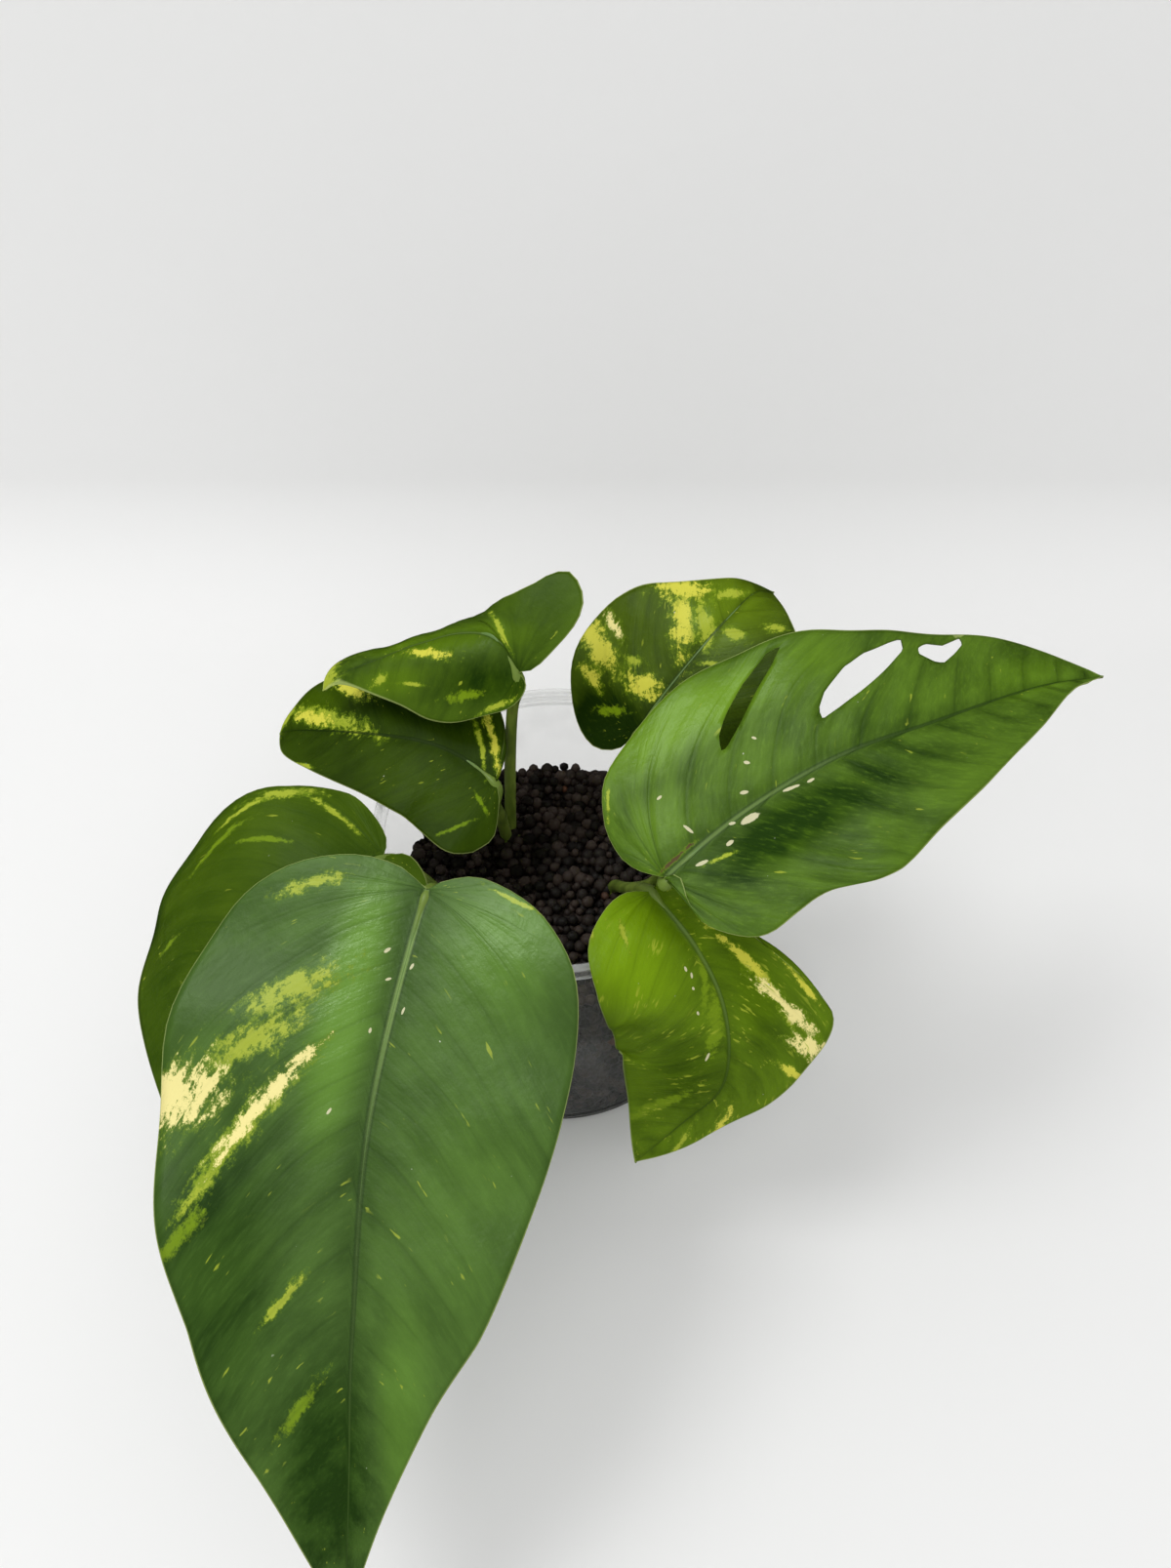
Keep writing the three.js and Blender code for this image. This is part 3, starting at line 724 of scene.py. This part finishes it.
def stalk_mesh(name, blade, foot, stalk, drop, sunk):
    """The stalk and the midrib as one round rod that thins to the tip."""
    base = along(blade.curve, blade.run, blade.heel) - Vector((0, 0, drop))
    path = [Vector((*foot, FILL_SURFACE)), Vector((*foot, STALK_UPRIGHT))]
    path += [*[Vector(point) for point in stalk], base]
    bend = len(path) - 1
    a = RIB_STEP
    while a < blade.length - 2:
        b = blade.midrib(a)
        thick = RIB_RADIUS * (1 - RIB_TAPER * a / blade.length)
        path.append(blade.lift(a, b if abs(b) > 0.01 else 0.01, -0.93 * thick - sunk * min(a / 12, 1)))
        a += RIB_STEP
    curve = through(path, STALK_STEPS)
    run = lengths(curve)
    knuckle = run[bend * STALK_STEPS]
    rings = len(curve)
    frames = []
    ahead = (curve[1] - curve[0]).normalized()
    right = ahead.orthogonal().normalized()
    for index in range(rings):
        before = curve[max(index - 1, 0)]
        after = curve[min(index + 1, rings - 1)]
        heading = (after - before).normalized()
        right = (right - right.dot(heading) * heading).normalized()
        frames.append((right.copy(), heading.cross(right)))

    def girth(far):
        if far < knuckle:
            thick = STALK_RADIUS * (1 - 0.14 * far / knuckle)
            return thick + (KNUCKLE_RADIUS - thick) * math.exp(-(((far - knuckle) / 4.5) ** 2))
        gone = (far - knuckle) / max(run[-1] - knuckle, 1)
        thick = RIB_RADIUS * (1 - RIB_TAPER * gone)
        return thick + (KNUCKLE_RADIUS - RIB_RADIUS) * math.exp(-(((far - knuckle) / 2.6) ** 2))

    def spot(column, row):
        index = min(max(row - 1, 0), rings - 1)
        thick = girth(run[index])
        if row in (0, rings + 1):
            thick = 0.02
        turn = 2 * math.pi * column / STALK_SIDES
        right, over = frames[index]
        return curve[index] + thick * (math.cos(turn) * right + math.sin(turn) * over)

    piece, cells = grid_laid(name, STALK_SIDES, rings + 1, spot)
    far_tag = piece.data.attributes.new("far", "FLOAT", "POINT")
    for point, (column, row) in zip(piece.data.vertices, cells):
        far_tag.data[point.index].value = (run[min(max(row - 1, 0), rings - 1)] - knuckle) / 100
    merged(piece, 0.00003)
    return piece


def patch(flat, jag, place, size, turn):
    """How deep a place lies in a streak ragged along the veins: its middle, half sizes and turn."""
    across = math.radians(turn)
    x = (flat.axis(0) - place[0] * MM) / MM
    y = (flat.axis(1) - place[1] * MM) / MM
    far = ((x * math.cos(across) + y * math.sin(across)) / size[0]) ** 2
    near = ((y * math.cos(across) - x * math.sin(across)) / size[1]) ** 2
    return 1 - (far + near) ** 0.5 + jag


def blade_finish(name, deep, fresh, streaks, flakes, shades, sheen, pale, flecked, quilt):
    """The skin of a blade.

    Its green runs from deep to fresh with clouds, grain along the veins, painted shade in the sunk veins and
    broad patches of painted light, sheen and shade, which are also smoother or duller. On it lie ragged
    streaks, small flecks, the pale midrib and margin, and dry flakes.
    """
    material, surface, place = new_finish(name)
    flat = place.join("ShaderNodeAttribute", {"attribute_name": "flat"}, out=1)
    vein = place.join("ShaderNodeAttribute", {"attribute_name": "vein"}, out=1)
    count, share, rest = (vein.axis(index) for index in range(3))
    count = count + flat.speckle(34, 1) * 0.5
    ribbed = vein.join("ShaderNodeCombineXYZ", None, {0: count * 0.009, 1: share * 0.009})
    grain = ribbed.speckle(0.8, 3, 0.6)
    jag = (ribbed.speckle(2.2, 5, 0.75) - 0.5) * 2.6 + (flat.speckle(3.2, 5, 0.85) - 0.5) * 4.6
    from_vein = ((count + 0.5).apply("FRACT") - 0.5).apply("ABSOLUTE")
    main = from_vein.fade(0, 0.07, 1, 0)
    fine = ((count * 6).apply("FRACT") - 0.5).apply("ABSOLUTE").fade(0.2, 0.5)
    cloud = (flat.speckle(22, 3, 0.5) + ribbed.speckle(5, 3, 0.5)).fade(0.75, 1.25)
    # Painted shade in the sunk side veins: the green darkens along them, more on quilted blades.
    painted_vein_shade = from_vein.fade(0.0, 0.28, 1, 0) * share.fade(0.6, 1, 1, 0.2)
    grain_and_painted_light = (grain - 0.5) * (0.08 + 0.3 * quilt)
    # Broad patches of painted light, sheen and shade: each lightens or darkens the green, and the painted
    # lit patches are also smoother and glossier.
    for amount, middle, size in shades:
        grain_and_painted_light = grain_and_painted_light + patch(flat, 0, middle, size, 0).fade(0, 0.9) * amount
    light = 0.28 + (0.17 + 0.3 * quilt) * cloud - 0.3 * quilt * painted_vein_shade + grain_and_painted_light
    green = place.blend(light, deep, fresh)
    green = green.tint(fresh, grain.fade(0.5, 0.75) * 0.5 * quilt)
    green = green.tint(deep, share.fade(0.0, 0.2, 0.3, 0))
    near_base = flat.axis(0).fade(0.02, 0.06, 1, 0.15)
    for colour, middle, size, turn in streaks:
        depth = patch(flat, jag, middle, size, turn)
        green = green.tint(LIME, depth.fade(-0.55, 0.05) * 0.6)
        green = green.tint(colour, depth.fade(-0.05, 0.4))
    flecks = ribbed.speckle(1.5, 2, 0.7).fade(0.7 - flecked, 0.75 - flecked)
    flecks = flecks * flat.speckle(11, 1).fade(0.5, 0.62)
    green = green.tint(YELLOW_GREEN, flecks * 0.7)
    # More painted shade along the sunk side veins, towards the midrib.
    green = green.tint(deep, main * share.fade(0.4, 0.9, 0.4, 0) * (0.3 + 0.4 * quilt))
    green = green.tint(deep, share.fade(0.01, 0.03, 0.8, 0))
    green = green.tint(VEIN_GREEN, share.fade(0.003, 0.02, 1, 0) * near_base * pale)
    green = green.tint(MARGIN_GREEN, rest.fade(0.12, 0.34, 0.6, 0))
    for middle, size, turn in flakes:
        green = green.tint(FLAKE, patch(flat, jag * 0.2, middle, size, turn).fade(0, 0.2))
    scar = flat.speckle(1.5, 1, 0.5).fade(0.79, 0.81) * flat.speckle(20, 1).fade(0.5, 0.6)
    green = green.tint(SCAR_GREY, scar * 0.8)
    feed(surface, "Base Color", green)
    feed(surface, "Roughness", grain_and_painted_light.fade(-0.4, 0.5, 0.6, 0.3) + cloud * 0.05)
    feed(surface, "Specular IOR Level", grain_and_painted_light.fade(-0.35, 0.05, 0.3, 1) * sheen)
    surface.inputs["Specular Tint"].default_value = SHEEN_TINT
    crinkle = flat.speckle(1.4, 3, 0.6)
    height = crinkle * 0.35 + grain * 0.1 - main * 0.3 * quilt - fine * 0.04 + flat.speckle(9, 2) * 1.6
    dents(surface, height, 0.6, 0.0005)
    return material


YELLOW = (0.62, 0.60, 0.06, 1)
CREAM = (0.86, 0.76, 0.30, 1)
YELLOW_GREEN = (0.36, 0.43, 0.03, 1)
LIME = (0.16, 0.26, 0.004, 1)
VEIN_GREEN = (0.22, 0.34, 0.08, 1)
FLAKE = (0.60, 0.57, 0.36, 1)
SCAR_GREY = (0.6, 0.62, 0.5, 1)
MARGIN_GREEN = (0.42, 0.50, 0.16, 1)
DRY_BROWN = (0.10, 0.06, 0.02, 1)
SHEEN_TINT = (0.8, 1, 0.7, 1)

# Each leaf: where its stalk leaves the fill, the stalk's way up, and the blade with its outline on both
# sides of the midrib, in millimetres from the base and from the midrib. Then how far the stalk joins below
# the blade, how far the rib is sunk, the distance between side veins and the height of the quilts.
# Shades, streaks and flakes lie at flat places on the blade: a middle, half sizes and a turn in degrees.
# The shades are painted light, sheen and shade: each has an amount that lightens or darkens the green first.
LEAVES = [
    {
        "name": "leaf_front",
        "foot": (-23.5, -17.9),
        "stalk": [(-24.5, -22, 76), (-25, -30, 92), (-25, -38.5, 107.5)],
        "blade": Blade(
            [(-19, -30, 119), (-25.3, -44, 115.3), (-34.6, -84, 96.6), (-36.2, -120, 78.3),
             (-36.5, -141, 62.3), (-38, -160.5, 40)],
            [(-1, 0.05, -0.1), (-1, 0, -0.05), (-1, 0, 0)],
            [[8, 8, 5], [8, 8, 5]],
            [[-0.3, -0.3, -0.2], [-0.3, -0.3, -0.2]],
            0, [0.8, 34, 0],
            [(0, 0), (-3, -4), (-5.5, -12), (-1.5, -23.5), (10, -34.5), (26, -38), (45, -37.5), (63, -33.5),
             (82, -26), (100, -15), (118, -6.8)],
            [(0, 0), (-3, 7), (-2.5, 18), (2.5, 30), (14, 40), (34, 44), (50, 42), (70, 37.5), (89, 29.5),
             (104, 21), (120, 11.5)],
        ),
        "drop": 2.0,
        "sunk": 0.35,
        "pitch": 11,
        "quilt": 0.15,
        "greens": ((0.014, 0.045, 0.002, 1), (0.130, 0.270, 0.030, 1)),
        "sheen": 0.7,
        "pale": 0.8,
        "flecked": 0.05,
        "shades": [
            (-0.3, (76, 26), (50, 20)), (-0.4, (112, 4), (34, 14)), (0.35, (8, -20), (26, 18)),
            (0.6, (30, 9), (34, 10)), (0.15, (60, -22), (40, 18)), (0.35, (100, -10), (30, 8)),
            (0.35, (10, 10), (20, 10)),
        ],
        "streaks": [
            (YELLOW_GREEN, (25, 20), (9, 2.6), 58), (YELLOW_GREEN, (4.5, 23.5), (6, 1.3), 62),
            (YELLOW_GREEN, (59, 30), (6, 1.4), 35), (YELLOW_GREEN, (50, 24), (11, 2), 40),
            (YELLOW_GREEN, (37, 27), (9, 2.6), 52), (CREAM, (47, 40), (11, 4.5), 68),
            (CREAM, (46, 21.5), (12, 1.6), 37), (YELLOW_GREEN, (79, 13), (4.5, 0.8), 38),
            (LIME, (98, 9), (5, 0.9), 35), (LIME, (69, 34), (6, 1.2), 40),
            (YELLOW_GREEN, (-2, -19), (6, 0.5), -75),
        ],
        "flakes": [
            ((16, -1.6), (0.8, 0.4), 20), ((19.5, 2.4), (0.7, 0.3), 60), ((25, -2.2), (0.9, 0.3), 10),
            ((14, 4.2), (0.9, 0.4), 40), ((30, 3.4), (0.6, 0.3), 0), ((46, 8), (0.7, 0.3), 30),
        ],
        "holes": [],
    },
    {
        "name": "leaf_left",
        "foot": (-24.5, -14.1),
        "stalk": [(-30, -14.5, 74), (-37.5, -14, 84.5)],
        "blade": Blade(
            [(-30, -9, 88), (-41, -16, 90), (-55, -22, 92), (-70, -29, 86), (-82, -40, 71), (-90, -51, 54),
             (-94, -63, 37)],
            [(-0.5, 0.85, 0.1), (-0.55, 0.8, 0), (-0.7, 0.6, 0)],
            [[4, -8, 0], [12, 10, 0]],
            [[-0.4, -0.3, -0.2], [-0.8, -0.9, -0.5]],
            0, [0.8, 28, 1],
            [(0, 0), (-4, -0.5), (-6, -3), (-6.4, -7), (-5.8, -11), (-3, -18), (6, -23), (25, -25.5),
             (45, -26), (65, -21), (80, -11)],
            [(0, 0), (-2.5, 3.5), (-2.5, 10), (0, 17), (6, 22), (17, 27.5), (30, 32), (45, 33.5), (60, 33),
             (72, 28), (82, 16)],
        ),
        "drop": 1.8,
        "sunk": 0.4,
        "pitch": 9,
        "quilt": 0.15,
        "greens": ((0.020, 0.056, 0.0, 1), (0.100, 0.175, 0.0, 1)),
        "sheen": 0.2,
        "pale": 0.05,
        "flecked": 0.04,
        "shades": [
            (0.1, (28, 26), (30, 12)), (-0.15, (72, 16), (26, 14)), (-0.3, (50, 32), (30, 4)),
        ],
        "streaks": [
            (YELLOW_GREEN, (18, 25), (7, 1.3), 22), (YELLOW_GREEN, (8.5, 15), (8, 0.7), 60),
            (YELLOW_GREEN, (27, 26.5), (5, 0.6), 10), (LIME, (34, 24), (6, 0.7), 10),
            (LIME, (58, 20), (5, 0.5), 30), (LIME, (24, 14), (5, 0.5), 40),
        ],
        "flakes": [],
        "holes": [],
    },
    {
        "name": "leaf_upper_left",
        "foot": (-14.6, 14.1),
        "stalk": [(-15, 9, 75), (-15.5, 4.5, 85)],
        "blade": Blade(
            [(-9, 1, 89), (-15, 5, 93), (-25, 12, 95.5), (-35.5, 16.5, 96), (-53, 23, 92), (-70, 30.5, 85),
             (-77, 34, 80)],
            [(0.35, 0.9, 0.25), (0.3, 0.9, 0.2), (0.3, 0.9, 0.1)],
            [[-8, -8, -12], [10, 8, 5]],
            [[-0.2, -0.1, -0.3], [-0.3, -0.3, 0]],
            0, [0.6, 26, 2],
            [(0, 0), (-4, -3), (-9, -10), (-8.8, -14.5), (-7.2, -18.4), (-3, -21.4), (7, -21.3),
             (23.5, -19.5), (36.4, -16), (53, -11.7), (66, -7)],
            [(0, 0), (2.5, 5), (6, 11), (12, 17), (24, 22), (40, 22.5), (54, 20.2), (66, 14.5), (72, 7)],
        ),
        "drop": 1.8,
        "sunk": 0.5,
        "pitch": 8,
        "quilt": 0.12,
        "greens": ((0.008, 0.022, 0.0, 1), (0.060, 0.115, 0.0, 1)),
        "sheen": 0.12,
        "pale": 0.05,
        "flecked": 0.04,
        "shades": [
            (-0.4, (28, 10), (26, 10)), (0.15, (18, -12), (26, 10)), (0.35, (62, 8), (18, 10)),
        ],
        "streaks": [
            (YELLOW, (50, 13), (7, 1.8), 18), (YELLOW_GREEN, (55, 4), (16, 2.2), 12),
            (YELLOW, (60, 4), (9, 1.8), 10), (YELLOW_GREEN, (74, 5), (4, 4), 0),
            (YELLOW_GREEN, (9, 5.5), (6, 0.6), 45), (YELLOW, (6.5, 7.5), (8, 0.9), 43),
            (LIME, (0, -15.5), (4, 0.5), -60), (LIME, (-1, -6.5), (3, 0.5), 20),
            (YELLOW_GREEN, (56, -10.5), (4, 0.5), 8),
        ],
        "flakes": [],
        "holes": [],
    },
    {
        "name": "leaf_rolled",
        "foot": (-13.4, 17.9),
        "stalk": [(-12.4, 20, 84), (-10.8, 19.6, 104)],
        "blade": Blade(
            [(3, 15, 120), (-8.7, 18, 118), (-20, 20, 116.5), (-32, 22, 112.5), (-44, 25, 108),
             (-55, 28.5, 104), (-61, 30, 100)],
            [(0, 0.65, 0.75), (0, 0.65, 0.75), (0, 0.7, 0.7)],
            [[0, 0, 0], [5, 5, 5]],
            [[-0.5, -0.3, 0], [-1.1, -4.6, -5.5, -7, -9]],
            11, [0, 30, 0],
            [(0, 0), (-2, -3), (0, -7), (5, -10), (17, -12), (25, -10.5), (33, -6), (43, -2), (51, 0)],
            [(0, 0), (-4, 1), (-9, 6), (-13.5, 11.5), (-15.3, 16.5), (-14.3, 21), (-11, 24.8), (-6.5, 24.3),
             (-2, 21.3), (4, 19), (14, 20), (25, 21), (38, 18), (50, 12)],
        ),
        "drop": 2.4,
        "sunk": 0.5,
        "pitch": 8,
        "quilt": 0.12,
        "greens": ((0.010, 0.032, 0.0, 1), (0.115, 0.215, 0.003, 1)),
        "sheen": 0.25,
        "pale": 0.35,
        "flecked": 0.04,
        "shades": [(0.45, (20, 9), (34, 6)), (-0.3, (6, -3), (26, 8)), (0.3, (34, 0), (16, 6))],
        "streaks": [
            (YELLOW, (24, 6.3), (7, 1.2), 15), (YELLOW_GREEN, (37.8, 0.5), (2.4, 1), -30),
            (YELLOW_GREEN, (28, -1.3), (3.6, 0.5), 10), (LIME, (14.5, -5.8), (4, 1), -5),
            (YELLOW_GREEN, (5.5, -8.5), (4, 0.6), -25), (YELLOW_GREEN, (5, 10), (5, 0.6), 58),
            (YELLOW_GREEN, (56, 3), (5, 6), 0),
        ],
        "flakes": [],
        "holes": [],
    },
    {
        "name": "leaf_back_right",
        "foot": (27, 11.5),
        "stalk": [(25, 11, 78), (20, 11, 93)],
        "blade": Blade(
            [(14, 9, 92), (20.2, 14.7, 100), (26.4, 20, 108), (35.4, 27, 117), (42.3, 33, 122),
             (50, 42, 123), (57, 51, 116)],
            [(0.7, -0.6, -0.1), (0.7, -0.6, -0.1), (0.7, -0.6, -0.1)],
            [[5, 5, 0], [5, 5, 0]],
            [[-0.6, -0.6, -0.4], [-0.6, -0.6, -0.4]],
            0, [0.9, 22, 0.5],
            [(0, 0), (-6, -2), (-9, -8), (-6, -16), (2, -24), (13, -28.5), (26, -25.5), (36, -18.5),
             (47, -8)],
            [(0, 0), (-6, 2), (-9, 8), (-6, 16), (2, 24), (13, 28.5), (26, 27), (38, 21), (47, 11.5),
             (55, 3)],
        ),
        "drop": 1.8,
        "sunk": 0.3,
        "pitch": 7.5,
        "quilt": 0.2,
        "greens": ((0.008, 0.024, 0.0, 1), (0.120, 0.200, 0.002, 1)),
        "sheen": 0.25,
        "pale": 0.25,
        "flecked": 0.04,
        "shades": [
            (-0.7, (-4, -8), (16, 18)), (0.5, (40, -2), (20, 18)), (0.2, (16, -22), (14, 10)),
        ],
        "streaks": [
            (YELLOW, (30, -9), (10, 2.6), -43), (YELLOW, (36.5, -14.5), (7, 3.6), 58),
            (YELLOW_GREEN, (31.5, -3), (5, 2.2), -50), (YELLOW_GREEN, (34.3, 4), (3.5, 1.3), 85),
            (YELLOW_GREEN, (41, 11), (2.6, 1.1), 60), (YELLOW_GREEN, (43, -4), (4, 1.4), 40),
            (CREAM, (17.3, -22.5), (4.5, 1.3), 109), (YELLOW, (11.5, -22), (9, 2.6), 105),
            (YELLOW, (5, -19), (4, 1.5), 100), (YELLOW, (11, -5.4), (4.6, 2.6), 80),
            (YELLOW_GREEN, (14, -12), (2.4, 1), 70), (LIME, (1, -9), (3.6, 1), 60),
            (YELLOW_GREEN, (25, 4.5), (3, 0.7), 60),
        ],
        "flakes": [],
        "holes": [],
    },
    {
        "name": "leaf_right",
        "foot": (19.1, -5),
        "stalk": [(24, -12, 73), (28, -17.5, 88), (26.5, -25, 101.5)],
        "blade": Blade(
            [(17, -39, 96), (25, -33.5, 105), (42, -22.5, 114), (62, -15, 124), (84, -8, 128), (111, 6, 125),
             (132, 17, 118)],
            [(0.45, -0.85, -0.1), (0.4, -0.9, -0.1), (0.4, -0.9, 0)],
            [[12, 12, 5], [5, 5, 0]],
            [[-0.4, -0.4, -0.2], [-0.6, -0.6, -0.4]],
            0, [0.7, 24, 1.5],
            [(0, 0), (-3, -5), (-4, -11), (-1.5, -19.5), (5, -27), (15, -31.5), (30, -35), (42, -33.5),
             (55, -31), (68, -26.5), (85, -21), (105, -13.5)],
            [(0, 0), (2.5, 2.5), (0, 9), (0, 15), (4, 22), (9, 25), (18, 25.5), (29, 25.5), (41, 29),
             (50, 28), (61, 23), (76, 16), (93, 10), (110, 3)],
        ),
        "drop": 2.5,
        "sunk": 0.4,
        "pitch": 11,
        "quilt": 0.42,
        "greens": ((0.012, 0.040, 0.0, 1), (0.150, 0.290, 0.010, 1)),
        "sheen": 0.4,
        "pale": 0.5,
        "flecked": 0.04,
        "shades": [
            (0.6, (22, -27), (24, 12)), (0.3, (42, -24), (22, 10)), (-0.35, (26, 9), (28, 11)),
            (-0.2, (46, 9), (36, 10)), (0.25, (100, -3), (24, 10)), (0.2, (8, -10), (10, 10)),
        ],
        "streaks": [
            (YELLOW_GREEN, (2, -22), (3.4, 0.4), -50), (DRY_BROWN, (5, -1.6), (4, 0.4), 0),
            (YELLOW_GREEN, (12, 5.5), (3, 0.4), 20),
        ],
        "flakes": [
            ((22.8, 2.2), (2.6, 1.1), 10), ((34, 1.4), (2.2, 0.5), 12), ((25, -3.6), (1.1, 0.5), 30),
            ((10.9, -4.5), (1.6, 0.4), 80), ((10.8, -14.7), (0.7, 0.4), 0), ((15.6, 4.1), (1.1, 0.6), 0),
            ((8, 3.4), (1.6, 0.5), 20), ((38.5, 2.2), (0.9, 0.4), 0), ((29, -9), (0.8, 0.4), 50),
            ((19, 0.5), (0.8, 0.4), 30), ((33, -13), (0.7, 0.3), 60),
        ],
        "holes": [
            [(26, -14.2), (27, -17.5), (30.5, -21.5), (36.5, -26.3), (44, -30), (47.3, -30.2), (44.5, -27.2),
             (38, -22.6), (32, -17.6), (27.5, -14.6)],
            [(47.2, -9.2), (47.4, -11.6), (50, -15), (56, -19.4), (62, -21.6), (74.5, -22), (73, -19),
             (65, -15.6), (57, -12.3), (51, -10.2)],
            [(76, -17), (77.5, -18.6), (80.5, -19.2), (84.6, -17.6), (90.4, -18.2), (90, -16.4),
             (85.7, -14.4), (80.7, -12.7), (78.6, -13.8)],
        ],
    },
    {
        "name": "leaf_lower_right",
        "foot": (15.2, -3.8),
        "stalk": [(18, -14, 74), (21, -22, 85)],
        "blade": Blade(
            [(19, -13, 89), (23.3, -27, 91), (32, -40.5, 89), (38, -50, 82), (40.5, -57, 70),
             (39, -61, 57), (31, -62.5, 43), (19.8, -66, 28)],
            [(-0.9, -0.3, 0), (-0.9, 0, 0), (-0.9, 0.2, 0)],
            [[50, 5, -5], [0, -5, -5]],
            [[-0.6, -0.6, -0.3], [-0.3, -0.5, -0.3]],
            0, [0.6, 26, 2.5],
            [(0, 0), (-2, -5), (2, -9), (10, -11), (21, -13), (30, -19), (39, -24), (50, -17), (63, -10),
             (80, -5.5)],
            [(0, 0), (-2, 6), (0, 13), (5, 21), (15, 25), (32, 26.5), (50, 26.5), (65, 23.5), (75, 16.5),
             (85, 8)],
        ),
        "drop": 1.3,
        "sunk": 0.5,
        "pitch": 8,
        "quilt": 0.14,
        "greens": ((0.030, 0.066, 0.0, 1), (0.200, 0.350, 0.002, 1)),
        "sheen": 0.2,
        "pale": 0.35,
        "flecked": 0.12,
        "shades": [
            (0.55, (8, 15), (30, 18)), (-0.2, (56, 9), (26, 14)), (-0.2, (30, -8), (26, 9)),
        ],
        "streaks": [
            (YELLOW, (26, -9.5), (10, 1), -22), (CREAM, (35, -14.5), (9, 1.4), -38),
            (CREAM, (44, -19), (6, 2), -60), (YELLOW, (30, -18), (5, 0.7), -30),
            (YELLOW, (49, -14.5), (4, 0.8), -60), (YELLOW, (68, -7.5), (7, 0.9), -18),
            (YELLOW_GREEN, (80, -4), (6, 0.7), -15), (LIME, (24, 1.8), (6, 0.7), 20),
            (LIME, (36, 2.6), (7, 1.4), 10), (YELLOW_GREEN, (6, 12), (3, 0.6), 20),
            (YELLOW_GREEN, (2, 18), (3, 0.7), 50), (LIME, (72, 8), (9, 1.2), 10),
        ],
        "flakes": [
            ((20, 4.5), (0.7, 0.3), 10), ((22, 4), (0.8, 0.3), 20), ((25, 5), (0.5, 0.3), 0),
            ((32, 6), (0.6, 0.3), 0), ((46, 5), (1.6, 0.3), 15),
        ],
        "holes": [],
    },
]

stalk_skin, surface, place = new_finish("stalk_skin")
far = place.join("ShaderNodeAttribute", {"attribute_name": "far"}, out=2)
streak = place.speckle(3, 3, 0.6, (1, 1, 0.25))
flesh = place.blend(streak.fade(0.35, 0.65), (0.09, 0.14, 0.012, 1), (0.17, 0.24, 0.03, 1))
flesh = flesh.tint((0.15, 0.23, 0.03, 1), far.fade(-0.06, 0.0))
flesh = flesh.tint((0.12, 0.22, 0.05, 1), far.fade(0.03, 0.12))
feed(surface, "Base Color", flesh.tint((0.16, 0.10, 0.04, 1), place.speckle(1.1, 2).fade(0.66, 0.74) * 0.5))
feed(surface, "Roughness", 0.36 + streak * 0.15)
dents(surface, streak, 0.3, 0.0003)

for leaf in LEAVES:
    blade = blade_mesh(leaf["name"] + "_blade", leaf["blade"], leaf["pitch"], leaf["quilt"], leaf["holes"])
    look = [leaf[key] for key in ("streaks", "flakes", "shades", "sheen", "pale", "flecked", "quilt")]
    skin = blade_finish(leaf["name"] + "_skin", *leaf["greens"], *look)
    blade.data.materials.append(skin)
    rod = leaf["name"] + "_stalk"
    stalk = stalk_mesh(rod, leaf["blade"], leaf["foot"], leaf["stalk"], leaf["drop"], leaf["sunk"])
    stalk.data.materials.append(stalk_skin)
    for piece in (blade, stalk):
        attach(piece, "root")
        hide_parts(leaf["name"])
